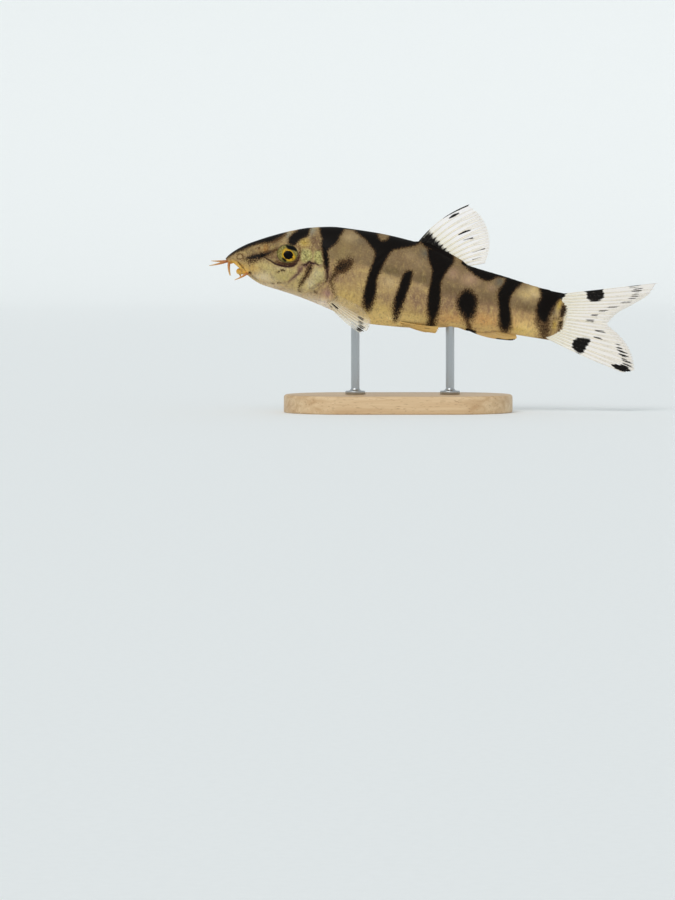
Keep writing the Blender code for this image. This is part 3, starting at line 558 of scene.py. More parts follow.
# Near-black marks of the skin, the same on both sides. Each mark in this script is its softness, its strength
# and its points: pairs of along and height are an outline's corners, and a third number is a stroke's radius
inkMarks = {
    "snoutStripe": (1, 1, [
        (-0.7, -0.3), (1.26, 1.8), (5.05, 4.25), (8.69, 6.25), (11.4, 6.8), (13.65, 8.6), (15.0, 10.1),
        (15.3, 12.0), (8.0, 9.5), (3.0, 6.5), (-1.0, 2.5),
    ]),
    "browBlotch": (1, 1, [
        (16.2, 7.1), (16.1, 8.9), (16.8, 10.2), (18.2, 11.3), (18.6, 14.0), (21.6, 14.5), (21.5, 10.6),
        (20.6, 9.8), (19.4, 9.0), (18.8, 8.0), (18.2, 7.0),
    ]),
    "napeBand": (1, 1, [
        (24.0, 15.5), (24.1, 13.2), (24.6, 11.3), (25.5, 9.86), (25.2, 8.6), (25.9, 7.2), (26.5, 5.3),
        (27.1, 3.0), (27.7, 1.8), (28.4, 3.0), (28.1, 4.8), (27.7, 6.2), (27.4, 7.0), (27.7, 7.75),
        (29.1, 9.15), (30.0, 10.5), (29.9, 11.6), (30.8, 13.0), (31.4, 15.5),
    ]),
    "frontRidge": (1, 1, [(30.5, 14.5, 0.6), (34.0, 14.6, 0.55), (40.5, 14.7, 0.6)]),
    "rearRidge": (1, 1, [(65.2, 10.0, 0.4), (66.0, 9.7, 0.5)]),
    "tailRidge": (1, 1, [(75.0, 8.7, 0.5), (80.0, 8.0, 0.5), (82.6, 7.8, 0.3)]),
    "oSpot": (2.0, 0.68, [
        (30.7, 5.0), (32.3, 5.6), (33.6, 6.4), (34.8, 6.2), (35.2, 4.7), (34.4, 3.3), (33.2, 1.8),
        (31.2, 0.9), (29.9, 2.0), (30.0, 3.8),
    ]),
    "oGrains": (3, 0.5, [
        (30.6, 1.4, 1.1), (29.6, -0.6, 0.8), (30.2, -2.4, 0.5), (30.9, -3.9, 0.4), (32.2, -5.6, 0.3),
    ]),
    "yBand": (1, 1, [
        (33.4, 16.0), (33.5, 14.1), (35.5, 13.0), (37.6, 11.8), (39.3, 10.15), (40.7, 8.75), (40.4, 6.3),
        (39.9, 3.9), (39.55, 1.5), (39.3, -0.9), (39.2, -3.2), (39.5, -5.5), (40.2, -6.9), (41.1, -7.7),
        (42.0, -6.1), (42.6, -3.4), (42.5, -1.1), (42.1, 1.9), (42.7, 3.9), (43.3, 5.7), (44.1, 8.15),
        (44.8, 10.0), (46.9, 11.1), (49.3, 11.8), (51.6, 12.8), (52.6, 13.6), (52.6, 16.0), (44.0, 16.0),
        (43.7, 13.6), (42.9, 12.6), (41.5, 12.35), (40.4, 13.6), (39.8, 16.0),
    ]),
    "secondBar": (1, 1, [
        (51.9, 5.7), (49.6, 5.3), (48.9, 2.8), (48.7, 0.2), (48.0, -2.3), (48.0, -5.3), (48.5, -7.4),
        (48.95, -9.1), (49.4, -8.3), (50.0, -6.0), (50.7, -2.9), (51.3, 0.4), (51.6, 2.8),
    ]),
    "thirdBar": (1, 1, [
        (54.6, 12.8), (55.0, 11.3), (55.4, 9.4), (56.6, 7.6), (57.1, 5.9), (57.1, 3.5), (57.0, 0.7),
        (57.1, -2.6), (57.7, -5.3), (58.5, -7.1), (58.4, -8.6), (57.8, -9.6), (60.9, -9.6), (60.2, -8.6),
        (60.0, -7.0), (60.7, -4.9), (60.7, -2.0), (60.3, 1.2), (59.9, 3.5), (60.5, 5.9), (61.6, 8.1),
        (62.8, 9.9), (62.0, 12.6),
    ]),
    "finFoot": (1, 1, [
        (52.0, 16.0), (52.4, 13.5), (55.5, 12.2), (59.0, 11.2), (61.6, 10.2), (62.4, 10.8), (61.6, 14.0),
    ]),
    "fourthSpot": (1.7, 1, [
        (67.1, 2.9), (65.5, 1.2), (65.2, -1.3), (66.2, -3.1), (67.45, -4.2), (68.6, -5.4), (70.0, -5.0),
        (70.6, -4.0), (70.9, -1.5), (70.8, 0.7), (69.7, 2.1), (68.2, 3.0),
    ]),
    "rearSaddle": (1, 1, [
        (64.8, 11.5), (65.4, 9.3), (67.0, 8.5), (68.8, 7.4), (71.1, 6.4), (72.8, 6.1), (74.05, 6.7),
        (75.2, 7.8), (77.6, 7.7), (79.0, 11.0),
    ]),
    "fifthBar": (1, 1, [
        (77.6, 10.0), (77.8, 7.3), (77.1, 5.6), (76.0, 3.7), (76.7, 0.9), (77.5, -2.5), (78.0, -5.1),
        (79.2, -6.9), (80.9, -6.6), (81.3, -4.3), (80.7, -1.7), (79.8, 0.8), (79.8, 3.0), (80.8, 5.1),
        (81.7, 6.3), (82.5, 7.1), (82.8, 9.5),
    ]),
    "sixthBar": (1.3, 1, [
        (87.3, 9.5), (87.5, 6.4), (88.4, 4.6), (87.9, 3.1), (87.4, 0.9), (87.9, -0.9), (89.3, -2.4),
        (90.9, -3.0), (91.4, -1.2), (91.7, 0.8), (92.3, 2.1), (93.0, 3.7), (94.3, 5.4), (94.9, 6.3),
        (95.2, 9.0),
    ]),
    "upperCrescent": (0.8, 0.68, [
        (94.4, 3.5), (96.0, 3.2), (96.0, 1.2), (95.6, -0.4), (94.3, -0.7), (94.1, 1.2),
    ]),
    "lowerCrescent": (0.8, 0.68, [(94.2, -1.5), (95.6, -1.0), (95.7, -2.7), (94.9, -5.0), (94.4, -3.7)]),
    "lineEnd": (2, 0.55, [(92.2, -1.0, 0.22), (94.8, -1.1, 0.22)]),
    "eyeStripe": (2.6, 0.86, [
        (5.7, 1.4, 0.3), (6.8, 1.8, 0.66), (8.2, 2.35, 0.78), (9.8, 2.95, 0.72), (11.0, 3.6, 0.45),
        (12.2, 4.3, 0.2),
    ]),
    "stripeGrains": (3, 0.5, [(5.0, 1.0, 0.6), (6.4, 0.6, 0.8), (7.6, 1.0, 0.7), (9.3, 1.6, 0.5)]),
    "cheekSpotFront": (1.6, 0.74, [(14.5, -0.95, 0.22), (14.9, -0.7, 0.24)]),
    "cheekSpotRear": (1.6, 0.76, [(15.7, -0.25, 0.26), (16.4, -0.2, 0.22)]),
    "lowCheekSpots": (1.6, 0.66, [(13.3, -4.35, 0.14), (14.0, -4.25, 0.16)]),
    "lowCheekRear": (1.6, 0.66, [(15.2, -3.95, 0.14), (16.0, -3.75, 0.16)]),
    "operculumBar": (3.4, 0.74, [
        (23.5, 2.4, 0.4), (23.3, 1.5, 0.7), (23.0, 0.6, 0.6), (22.6, -0.6, 0.4), (22.2, -1.6, 0.42),
        (21.5, -3.0, 0.5), (21.3, -4.0, 0.1),
    ]),
    "operculumFoot": (2, 0.66, [(21.3, -4.7, 0.22), (21.6, -5.1, 0.26)]),
    "sixthGrains": (1.2, 0.5, [
        (87.0, 0.0), (87.6, -3.3), (89.0, -5.2), (90.0, -7.8), (92.4, -7.6), (92.6, -4.5), (92.2, -0.5),
    ]),
    "fourthGrains": (2.4, 0.44, [(68.2, -3.4, 1.5), (69.2, -6.0, 0.8), (70.4, -8.6, 0.8)]),
    "gillSpot": (1.8, 0.5, [(25.6, -4.7, 0.35), (26.2, -4.9, 0.3)]),
    "mouthCornerSpot": (1, 0.75, [(6.9, -2.3, 0.25), (7.3, -2.6, 0.2)]),
    "analSpots": (1, 0.9, [(69.5, -8.2, 0.5), (71.6, -8.6, 0.6)]),
}
# Brown, see-through parts of the marks
brownMarks = {
    "sixthFoot": (1.3, 0.74, [
        (87.1, -1.0), (87.8, -3.3), (89.0, -5.0), (90.2, -7.6), (92.5, -7.4), (92.7, -4.5), (92.3, -2.6),
        (91.8, 0.0), (89.0, 0.6),
    ]),
    "fifthEdge": (3, 0.66, [(76.4, 5.2, 0.3), (75.7, 3.4, 0.5), (76.2, 1.0, 0.4), (76.8, -0.6, 0.2)]),
    "sixthEdge": (3, 0.8, [(92.2, 3.0, 0.5), (92.0, 1.2, 0.7), (91.8, -0.6, 0.5)]),
    "operculumBrown": (2.2, 0.84, [
        (23.5, 2.3, 0.6), (23.25, 1.2, 0.85), (22.8, -0.4, 0.8), (22.1, -1.8, 0.55), (21.4, -3.4, 0.35),
    ]),
    "eyeRear": (2.2, 0.8, [(19.3, 7.0, 0.3), (19.9, 6.0, 0.4), (20.0, 4.6, 0.4), (19.7, 3.2, 0.5)]),
    "plateRims": (1.8, 0.7, [
        (19.8, 7.0, 0.1), (22.4, 7.1, 0.14), (23.6, 6.4, 0.14), (25.6, 7.2, 0.12), (26.8, 5.8, 0.1),
    ]),
    "fourthFoot": (2.4, 0.9, [(68.4, -4.0, 1.0), (69.4, -6.3, 0.6), (70.4, -8.6, 0.8)]),
    "stripeEdge": (2.6, 0.85, [
        (8.6, 6.0, 0.2), (10.5, 6.6, 0.3), (12.0, 7.2, 0.6), (13.4, 8.2, 0.75), (15.0, 9.8, 0.5),
    ]),
    "oHeart": (2.4, 1.1, [(31.2, 2.5, 1.2), (32.4, 3.6, 1.8), (33.8, 4.8, 1.2)]),
    "oTail": (3.4, 0.7, [(30.4, 1.0, 1.0), (29.8, -0.8, 0.8), (30.4, -2.8, 0.4), (31.0, -4.4, 0.3)]),
    "stripeEnd": (2.4, 0.88, [(9.6, 3.0, 0.8), (11.6, 4.0, 0.85), (13.3, 5.1, 0.6)]),
    "stripeFoot": (2.4, 0.66, [(5.2, 1.1, 0.5), (7.0, 1.1, 0.7), (9.6, 2.1, 0.5)]),
    "underEyeShade": (2.4, 1.0, [
        (13.6, 1.8, 0.35), (15.5, 1.6, 0.6), (18.2, 1.9, 0.7), (19.6, 3.2, 0.5), (19.9, 4.6, 0.3),
    ]),
    "browFoot": (2, 0.7, [(17.2, 6.6, 0.5), (18.6, 6.7, 0.4)]),
    "fifthFoot": (2, 0.6, [(79.6, -5.6, 1.4), (80.0, -6.9, 1.0)]),
    "innerGill": (2, 0.55, [(22.6, 1.6, 0.6), (23.4, 3.0, 0.4)]),
    "tailBase": (3, 0.7, [(92.0, 1.0, 0.3), (92.6, -0.6, 0.4), (92.9, -2.4, 0.4), (93.2, -3.4, 0.3)]),
    "jawLine": (1.6, 0.8, [(6.8, -2.5, 0.28), (7.6, -3.2, 0.25), (8.6, -3.8, 0.2), (9.6, -4.3, 0.1)]),
    "lipGroove": (1.3, 1.0, [(3.2, 0.0, 0.1), (3.9, -0.5, 0.16), (4.8, -1.25, 0.17), (5.7, -2.05, 0.12)]),
    "snoutRing": (1.5, 1.0, [
        (2.7, 1.4, 0.2), (3.0, 2.1, 0.2), (3.8, 2.3, 0.2), (4.4, 1.9, 0.22), (4.5, 1.2, 0.2),
        (3.8, 0.8, 0.14), (3.0, 0.85, 0.14), (2.7, 1.4, 0.2),
    ]),
    "pectoralLine": (1.4, 0.9, [(31.4, -6.7, 0.12), (33.0, -7.6, 0.2)]),
    "flapEdge": (1.4, 0.66, [(7.3, 4.6, 0.08), (7.6, 4.0, 0.1), (8.1, 3.4, 0.08)]),
    "flapShade": (2.2, 0.7, [(11.2, 6.2, 0.1), (11.4, 5.2, 0.2), (11.1, 4.2, 0.12)]),
    "pelvicFold": (2.4, 0.6, [
        (49.4, -10.3, 0.1), (51.2, -10.2, 0.3), (54.0, -10.0, 0.2), (60.0, -9.5, 0.15),
    ]),
}
# Dusky purple lines in the folds of the head
purpleMarks = {
    "underEye": (1.8, 1, [
        (10.0, 2.55, 0.16), (12.4, 1.72, 0.24), (13.6, 1.2, 0.3), (15.6, 0.98, 0.36), (17.4, 1.05, 0.38),
        (18.7, 1.55, 0.32), (19.4, 2.3, 0.24),
    ]),
    "underEyeDeep": (2.8, 0.7, [
        (14.6, 1.5, 0.22), (17.0, 1.5, 0.42), (18.5, 1.9, 0.52), (19.5, 2.9, 0.5), (19.8, 4.2, 0.5),
        (19.6, 5.4, 0.3),
    ]),
    "underEyeRear": (2, 0.85, [(20.8, 2.1, 0.2), (21.5, 2.2, 0.35), (22.3, 2.3, 0.3)]),
    "plateFold": (1.6, 1, [
        (22.1, 2.3, 0.26), (22.8, 3.4, 0.3), (23.6, 2.95, 0.26), (24.5, 3.2, 0.2), (25.7, 2.8, 0.15),
    ]),
    "preopercle": (2.4, 0.54, [
        (21.8, 2.1, 0.3), (21.0, 0.8, 0.34), (20.3, -0.4, 0.3), (19.2, -1.9, 0.22), (18.5, -3.0, 0.12),
    ]),
    "plateGap": (1.4, 0.6, [(22.9, 3.5, 0.16), (23.6, 5.3, 0.16), (23.4, 7.2, 0.14)]),
    "gillLine": (2.6, 0.8, [
        (26.0, 7.0, 0.2), (27.2, 4.6, 0.4), (27.9, 2.6, 0.44), (28.4, 0.9, 0.42), (28.6, -0.5, 0.3),
        (28.2, -1.7, 0.18),
    ]),
    "gillMembrane": (1.3, 0.6, [(27.5, -1.7, 0.12), (26.3, -2.8, 0.16), (25.2, -3.8, 0.1)]),
    "pectoralFoot": (3, 0.4, [(29.6, -3.6, 0.4), (30.6, -5.0, 0.5), (31.2, -5.8, 0.3)]),
}
# Soft colours under the marks, and their patches: along, height, the two radii and the strength
washes = {
    "upperFlank": ("#7f694b", [(27.5, 10, 4, 4, 0.6), (47.6, 7.4, 2.4, 2.0, 1.0)]),
    "oliveShade": ("#5b4c31", [
        (45.4, 4.6, 3, 1.3, 0.7), (54.8, 3.6, 2.2, 1.4, 0.6), (63.4, 1.6, 2.8, 1.5, 0.7),
        (74, 0.9, 3, 1.5, 0.5), (85, 0.5, 3.2, 1.1, 0.75),
    ]),
    "pale": ("#ceb486", [
        (45.6, 1.4, 2.2, 1.6, 0.5), (33, 12, 2.2, 1.4, 0.5), (84.3, 4.4, 2.4, 1.6, 0.85),
        (54.2, 1.6, 1.4, 1.0, 0.35), (93.6, 2.2, 0.8, 2.0, 0.8), (86.2, 5.4, 2.0, 1.6, 1.3),
        (53.0, 8.0, 1.6, 1.4, 0.2), (50.4, 9.4, 1.6, 1.2, 0.3),
    ]),
    # painted sheen: pale grey patches of the skin's lustre on the head
    "paintedSheenPale": ("#aaa38d", [
        (15.7, 9.6, 0.9, 1.1, 1.1), (22.2, 12.2, 0.9, 2.0, 1.0), (8.3, 4.7, 0.7, 0.7, 0.6),
    ]),
    "rose": ("#ba967b", [(74, 4.6, 1.6, 1.0, 0.3), (67.6, 5.8, 2.6, 1.6, 0.6), (63, 6.6, 1.8, 1.6, 0.5)]),
    # painted sheen: bluish-grey lustre on the back, the head and beside the bars
    "paintedSheenGrey": ("#5f5b50", [
        (22.7, 11.6, 1.0, 1.4, 0.5), (54.6, 10.8, 1.6, 1.3, 0.95), (76.2, 6.5, 1.2, 1.6, 0.9),
        (92.2, 1.4, 0.8, 2.0, 0.8), (36, 11.8, 3, 1.6, 0.25), (14.4, 9.0, 1.2, 1.0, 0.4),
    ]),
    "gold": ("#c3a662", [
        (35, -4.5, 5, 3.4, 0.8), (45, -6.6, 5, 3, 0.8), (54, -7, 5, 2.4, 0.7), (31, 8.5, 3, 3, 0.15),
    ]),
    "orangeGold": ("#cf9c5f", [
        (64, -6, 5, 2.8, 0.75), (74, -4.8, 5, 3, 0.85), (84, -4.6, 5, 3.0, 0.9), (52, -9.8, 9, 1.2, 0.4),
    ]),
    "pinkTan": ("#856751", [
        (34, 0.6, 3, 3, 0.4), (54, -2.0, 2.8, 3.4, 0.8), (63.4, -1.6, 3, 3.4, 0.75),
        (46.4, -3.6, 2.4, 2.4, 0.35), (55.8, -4.4, 1.0, 2.0, 0.7), (31.8, 0.2, 1.6, 1.8, 0.75),
        (74, -1.0, 3, 2.2, 0.65), (84, -1.6, 3, 1.8, 0.5), (50, 8.5, 5, 2.4, 0.2),
    ]),
    # pale belly pigment, made lighter still as painted light where the underside faces down
    "belly": ("#e6c984", [
        (46, -10.2, 10, 2.9, 1.1), (37, -11.5, 10, 2.0, 0.9), (33.6, -7.6, 3.4, 1.5, 0.7),
        (56, -9.0, 7, 1.9, 0.95), (66, -7.8, 4, 1.4, 0.6), (75, -7.0, 4, 1.2, 0.5),
        (85.4, -5.4, 3.4, 2.6, 0.9),
    ]),
    "throat": ("#dcc7ab", [(11, -5.4, 6, 1.9, 1), (20, -7.2, 7, 2.3, 1), (29, -8.6, 5, 2.2, 1)]),
    # painted light: a paler patch on the throat's downward face
    "throatPaintedLight": ("#f6e8d8", [(28.0, -8.0, 4, 1.5, 0.85)]),
    "cheek": ("#baa770", [(11, -0.6, 4, 2.6, 1), (16, -1.6, 5, 2.2, 0.95), (21, -3, 4, 3, 0.8)]),
    "cheekCream": ("#dccaa6", [
        (10.6, -3.2, 3.6, 1.6, 0.95), (25.7, 0.3, 1.5, 1.8, 0.9), (24.6, -2.5, 1.4, 1.6, 1.0),
        (16.0, 0.2, 2.0, 0.5, 0.4),
    ]),
    "cheekGold": ("#c39f5c", [(7.6, -1.2, 2.4, 1.7, 0.85), (10, -4.4, 3, 0.9, 0.5)]),
    "cheekGreen": ("#a3975a", [
        (16, -2.2, 3, 1.1, 0.5), (18.6, -0.6, 1.6, 1.0, 0.5), (30.5, 7.5, 2.5, 2.5, 0.2),
    ]),
    "finCream": ("#f3ebd6", []),
    "plates": ("#a49d60", []),
    "dusky": ("#6d513b", [
        (13.0, 3.0, 2.4, 1.0, 1.0), (12.6, 7.2, 2.0, 0.8, 0.7), (29.8, 8.2, 1.2, 2.0, 0.5),
    ]),
    "yellow": ("#bd9d4b", [
        (86.6, 5.8, 1.8, 1.2, 0.3), (93.7, 3.0, 0.7, 1.8, 1.0), (93.3, -3.0, 0.6, 1.6, 1.0),
        (83.5, -5.8, 3, 1.0, 0.5), (84.0, 4.4, 2.2, 1.2, 0.3),
    ]),
    "snoutTan": ("#816b45", [(7, 3.2, 4, 1.6, 1), (11.6, 5.8, 3.5, 1.8, 0.95), (15, 9, 1.6, 1.6, 0.5)]),
    "snoutPale": ("#b3966a", [
        (3.2, 1.2, 1.6, 1.1, 0.9), (11.4, 4.6, 0.35, 0.8, 0.9), (14.6, 7.8, 1.2, 0.7, 0.4),
    ]),
    "peach": ("#956a38", [(10.2, 5.0, 0.9, 1.2, 1.3), (8.8, 4.6, 1.2, 0.9, 0.6)]),
    "lipGold": ("#e0b55f", [
        (3.2, -0.8, 0.9, 0.7, 1.2), (4.4, -1.3, 1.2, 0.9, 1.2), (5.6, -1.9, 1.0, 0.8, 1.1),
    ]),
    "orange": ("#e1aa40", [
        (3.6, -2.6, 1.4, 0.9, 1.4), (1.8, -0.5, 1.3, 0.5, 1.2), (5.6, -2.6, 1.3, 0.6, 1.1),
        (4.2, -3.6, 1.2, 0.8, 0.6),
    ]),
    "barbelRed": ("#ab5f2f", [
        (0.1, -0.4, 0.7, 0.5, 1.1), (1.0, -0.9, 0.4, 0.6, 1.1), (6.2, -2.9, 0.5, 0.5, 1.1),
    ]),
    "pinkBase": ("#a27c70", [(29.2, -4.6, 1.6, 1.3, 0.9), (27.0, -2.4, 1.2, 0.6, 0.4)]),
    "mauve": ("#6f4f4b", []),
}
washMarks = {
    "plates": {
        "front": (1, 1, [
            (20.1, 5.5), (20.3, 6.5), (22.4, 6.7), (23.3, 5.8), (23.5, 3.9), (22.6, 3.0), (21.2, 2.8),
            (20.3, 3.8),
        ]),
        "rear": (1, 1, [
            (23.8, 5.6), (24.3, 6.8), (25.4, 6.8), (26.5, 5.5), (26.7, 4.1), (26.4, 3.2), (24.7, 3.0),
            (23.9, 4.0),
        ]),
        "lower": (2.4, 0.5, [
            (24.7, 2.2), (26.9, 2.8), (27.9, 0.4), (27.7, -1.8), (25.8, -3.4), (24.3, -4.4), (23.7, -3.3),
            (24.6, -1.0),
        ]),
    },
    "dusky": {
        "nape": (2, 1, [
            (21.8, 10.6), (24.0, 10.9), (24.9, 9.6), (25.3, 8.2), (25.4, 7.2), (24.0, 7.1), (22.5, 7.2),
            (22.2, 8.6),
        ]),
    },
    "yellow": {
        "cheekTop": (1.6, 1, [
            (19.0, 8.3), (19.6, 9.2), (20.4, 9.7), (21.6, 9.3), (22.1, 8.4), (21.5, 7.3), (20.2, 7.2),
        ]),
    },
    "mauve": {
        "preopercle": (3, 1.0, [
            (21.9, 2.1, 0.7), (20.8, 1.2, 0.6), (20.4, -0.1, 0.5), (19.2, -1.8, 0.4), (18.2, -3.2, 0.2),
        ]),
        "gill": (4, 0.85, [
            (26.6, 5.6, 0.5), (27.8, 3.0, 0.7), (28.5, 0.9, 0.75), (28.8, -0.8, 0.5), (29.2, -2.6, 0.3),
        ]),
        "fold": (3, 0.7, [(20.6, 1.8, 0.3), (22.4, 2.6, 0.5), (24.4, 3.0, 0.4), (26.2, 2.6, 0.2)]),
        "membrane": (3, 0.6, [(27.6, -1.8, 0.3), (26.2, -3.0, 0.35), (24.8, -4.0, 0.2)]),
    },
}
# The darker upper flank: the line that it ends on, how softly, and where it starts
flank = {
    "above": [
        (20, 4), (30, 4.6), (37, 4.8), (43, 3.8), (50, 2.5), (54, 2.2), (57, 1.4), (64, -0.6), (80, -0.7),
        (88, -0.7), (92, 0.4),
    ],
    "fade": (-0.5, 0.8),
    "start": (24, 30),
}
finCreamFrom = (95, 96.3)  # along: where the cream of the tail fin's foot starts, and where it is full
# Where painted glints lie on the skin: the yellow patch, the cheek and the gill plates, with their own
# strength
glitter = {
    "patches": [
        (20.6, 8.2, 1.6, 1.0, 0.6), (16.5, 0.0, 3.4, 0.9, 0.5), (12.0, -0.4, 4.0, 1.4, 0.3),
        (26.6, -1.4, 1.4, 1.6, 0.3),
    ],
    "onPlates": 0.7,
}
# Folds of the skin, finer than the solids' forms: width, depth and path
folds = {
    "gillOpening": (0.34, 0.34, [
        (25.4, 7.0), (27.2, 4.8), (28.2, 2.4), (28.5, 0.4), (28.4, -1.4), (26.4, -4.3), (23.0, -6.0),
    ]),
    "plateFold": (0.26, 0.14, [
        (19.5, 1.3), (21.1, 2.3), (22.1, 2.2), (22.8, 3.4), (23.6, 2.95), (24.5, 3.2), (25.7, 2.8),
    ]),
    "plateGap": (0.3, 0.1, [(22.9, 3.5), (23.6, 5.3), (23.4, 7.2)]),
    "preopercle": (0.3, 0.15, [(21.7, 1.8), (20.7, -0.1), (19.7, -1.45), (18.4, -3.0), (16.6, -4.2)]),
    "underEye": (0.3, 0.2, [
        (9.6, 2.7), (12.2, 1.9), (13.5, 1.3), (15.0, 0.9), (16.8, 0.9), (18.4, 1.2), (19.6, 2.0),
    ]),
    "lipGroove": (0.2, 0.2, [(1.6, 0.45), (2.4, 0.2), (3.8, -0.5), (5.0, -1.35), (6.2, -2.1)]),
    "flapFront": (0.2, 0.12, [(8.5, 5.5), (8.45, 4.6), (8.8, 3.8)]),
    "flapRear": (0.2, 0.16, [(10.6, 5.6), (11.15, 4.7), (10.7, 3.8)]),
    "jawLine": (0.35, 0.14, [(7.0, -2.5), (8.2, -3.5), (9.6, -4.3), (12.0, -5.0)]),
    "branchial": (0.4, 0.16, [(15.0, -5.2), (19.0, -5.6), (23.0, -6.4), (26.0, -7.4)]),
    "branchialLow": (0.35, 0.12, [(17.0, -6.2), (21.0, -6.7), (24.5, -7.6)]),
    "sideLine": (0.22, 0.07, [
        (29.0, 3.4), (36.0, 2.4), (50.0, 1.7), (66.0, 0.6), (80.0, 0.3), (94.0, -0.6),
    ]),
    "bellyFold": (0.6, 0.12, [(30.0, -7.2), (36.0, -8.8), (44.0, -9.8), (52.0, -9.4)]),
    "analFold": (0.4, 0.1, [(64.0, -7.0), (70.0, -6.7), (78.0, -6.2), (88.0, -6.2)]),
}
plumps = [  # raised soft forms: along, height, the two radii, size
    (21.8, 4.7, 1.3, 1.8, 0.16),
    (25.0, 4.9, 1.1, 1.7, 0.14),
    (25.4, 0.2, 1.8, 2.6, 0.18),
    (19.0, 8.2, 2.2, 1.2, 0.12),
    (12.0, 0.3, 3.0, 1.0, 0.12),
    (8.8, 1.6, 2.0, 0.9, 0.08),
    (5.0, 1.0, 1.8, 1.2, 0.08),
]
gillCover = {
    # height, along
    "edge": [(-9.0, 20.8), (-3.5, 24.6), (0.5, 28.0), (3.0, 28.0), (7.1, 25.6), (14.5, 24.6)],
    "stands": 0.45,
}
muscles = {"every": 2.3, "lean": 0.85, "size": 0.035}
sideLevel = [(20, 3.4), (30, 3.0), (43, 2.2), (57, 1.5), (72, 0.5), (95, -0.2)]
lids = [(0.0, 0.3, 0.1), (0.65, 0.25, -0.12), (1.1, 0.4, 0.08)]  # rings round the eye: place, width, size


def reliefHeight(u, w, side):
    # sum of the folds, the soft plumps, the gill cover's edge, the blocks of muscle and the eye's rings
    total = np.zeros(u.shape)
    for width, depth, path in folds.values():
        gap = strokeDistance(u, w, path)
        total -= depth * bell(gap, width)
        total += 0.35 * depth * bell(gap - 2.2 * width, width)
    for at, level, reach, rise, size in plumps:
        total += size * np.exp(-(((u - at) / reach) ** 2) ** 1.5 - (((w - level) / rise) ** 2) ** 1.5)
    past = u - smoothCurve(gillCover["edge"], w)
    window = ease(-np.abs(w - 0.6), -7, -4.5)
    total += gillCover["stands"] * window * ease(past, -6, 0) * (1 - ease(past, -0.05, 0.35))
    level = w - smoothCurve(sideLevel, u)
    beat = np.cos(2 * math.pi * (u - muscles["lean"] * np.abs(level)) / muscles["every"])
    window = ease(u, 31, 36) * (1 - ease(u, 88, 94)) * ease(-np.abs(level - 1), -9, -4)
    total += muscles["size"] * beat * window
    (at, level), (reach, rise) = eye["at"], eye["opening"]
    past = 2.7 * (np.hypot((u - at) / reach, (w - level) / rise) - 1)
    for out, width, size in lids:
        total += size * bell(past - out, width)
    return total * ease(np.abs(side), 0.1, 0.8)


def pressIn(level, centre, axes, radii, floor):
    # points inside an ellipsoid move along its middle axis down to a bowl
    local = (level - centre) @ axes.T
    r = np.hypot(local[:, 0] / radii[0], local[:, 2] / radii[2])
    near = (r < 1) & (np.abs(local[:, 1]) < radii[1] * 1.4)
    bowl = floor * np.sqrt(np.clip(1 - r**2, 0, 1))
    inner = ease(1 - r, 0, 0.1)
    lower = np.minimum(local[:, 1], local[:, 1] * (1 - inner) - bowl * inner)
    local[:, 1] = np.where(near, lower, local[:, 1])
    return np.where(near[:, None], local @ axes + centre, level)


def patchField(u, w, patches, marks):
    # the strongest of a wash's soft patches and of its marks
    total = coverage(u, w, marks, 0.5)
    for at, level, reach, rise, strength in patches:
        total = np.maximum(total, strength * np.exp(-(((u - at) / reach) ** 2) - ((w - level) / rise) ** 2))
    return np.clip(total, 0, 1)


def skinFields(u, w):
    # one field for each kind of mark, for each wash and for the glitter
    fields = {
        "ink": coverage(u, w, inkMarks, 0.75, (1.5, 7.0, 0.85)),
        "brown": coverage(u, w, brownMarks, 0.75),
        "purple": coverage(u, w, purpleMarks, 0.5),
    }
    for name, (_, patches) in washes.items():
        fields[name] = patchField(u, w, patches, washMarks.get(name, {}))
    band = ease(w - smoothCurve(flank["above"], u), *flank["fade"]) * ease(u, *flank["start"])
    fields["upperFlank"] = np.maximum(fields["upperFlank"], band)
    fields["finCream"] = ease(u, *finCreamFrom)
    plates = {name: (soft, glitter["onPlates"] * strength, points)
              for name, (soft, strength, points) in washMarks["plates"].items()}
    fields["glitter"] = patchField(u, w, glitter["patches"], plates)
    return fields


# Loach skin: tiny sunk scales under a thin wet slime, so it is satin with a faint clear gloss, and its
# pigment cells show as fine dark grains that break up at the ends of each bar
skinLook = {
    "base": "#a88c60",
    "noises": {  # size in mm, detail, roughness; the grain is a little coarser than the real pigment cells
        "grain": (0.26, 2.0, 0.6),
        "cloud": (1.6, 3.0, 0.6),
        "fleck": (0.45, 2.0, 0.5),
    },
    "veins": (0.75, 4.0, 0.65),  # the same, drawn out upwards
    "dots": 0.5,  # mm from one pigment dot to the next
    "scale": 0.42,  # mm
    "specks": [  # noise, what it shows through, levels where it starts and is full, most, colour
        ("veins", "calm", 0.5, 0.34, 0.46, "#735a4b"),
        ("veins", "calm", 0.52, 0.7, 0.5, "#d4b873"),
        ("cloud", "dots", 0.4, 0.62, 1.0, "#5a4630"),
        ("fleck", "calm", 0.54, 0.74, 0.35, "#d2bd84"),
        # the next two: pale painted glints on the glitter field, and dark grains between them
        ("fleck", "glitter", 0.5, 0.68, 1.0, "#cac07e"),
        ("fleck", "glitter", 0.5, 0.34, 1.0, "#5d5531"),
    ],
    "marks": [  # field, levels where it starts and is full, strength of the grains, colour
        ("brown", 0.2, 0.85, 1.6, "#54371c"),
        ("ink", 0.08, 0.6, 1.4, "#5a4229"),
        ("purple", 0.2, 0.8, 0.9, "#331b17"),
        ("ink", 0.34, 0.76, 1.6, "#0c0704"),
    ],
    "shader": {
        "Roughness": 0.5,
        "Specular IOR Level": 0.07,
        "Coat Weight": 0.03,
        "Coat Roughness": 0.25,
        "Subsurface Weight": 0.12,
        "Subsurface Radius": (0.9, 0.5, 0.3),
        "Subsurface Scale": 0.0012,
    },
}


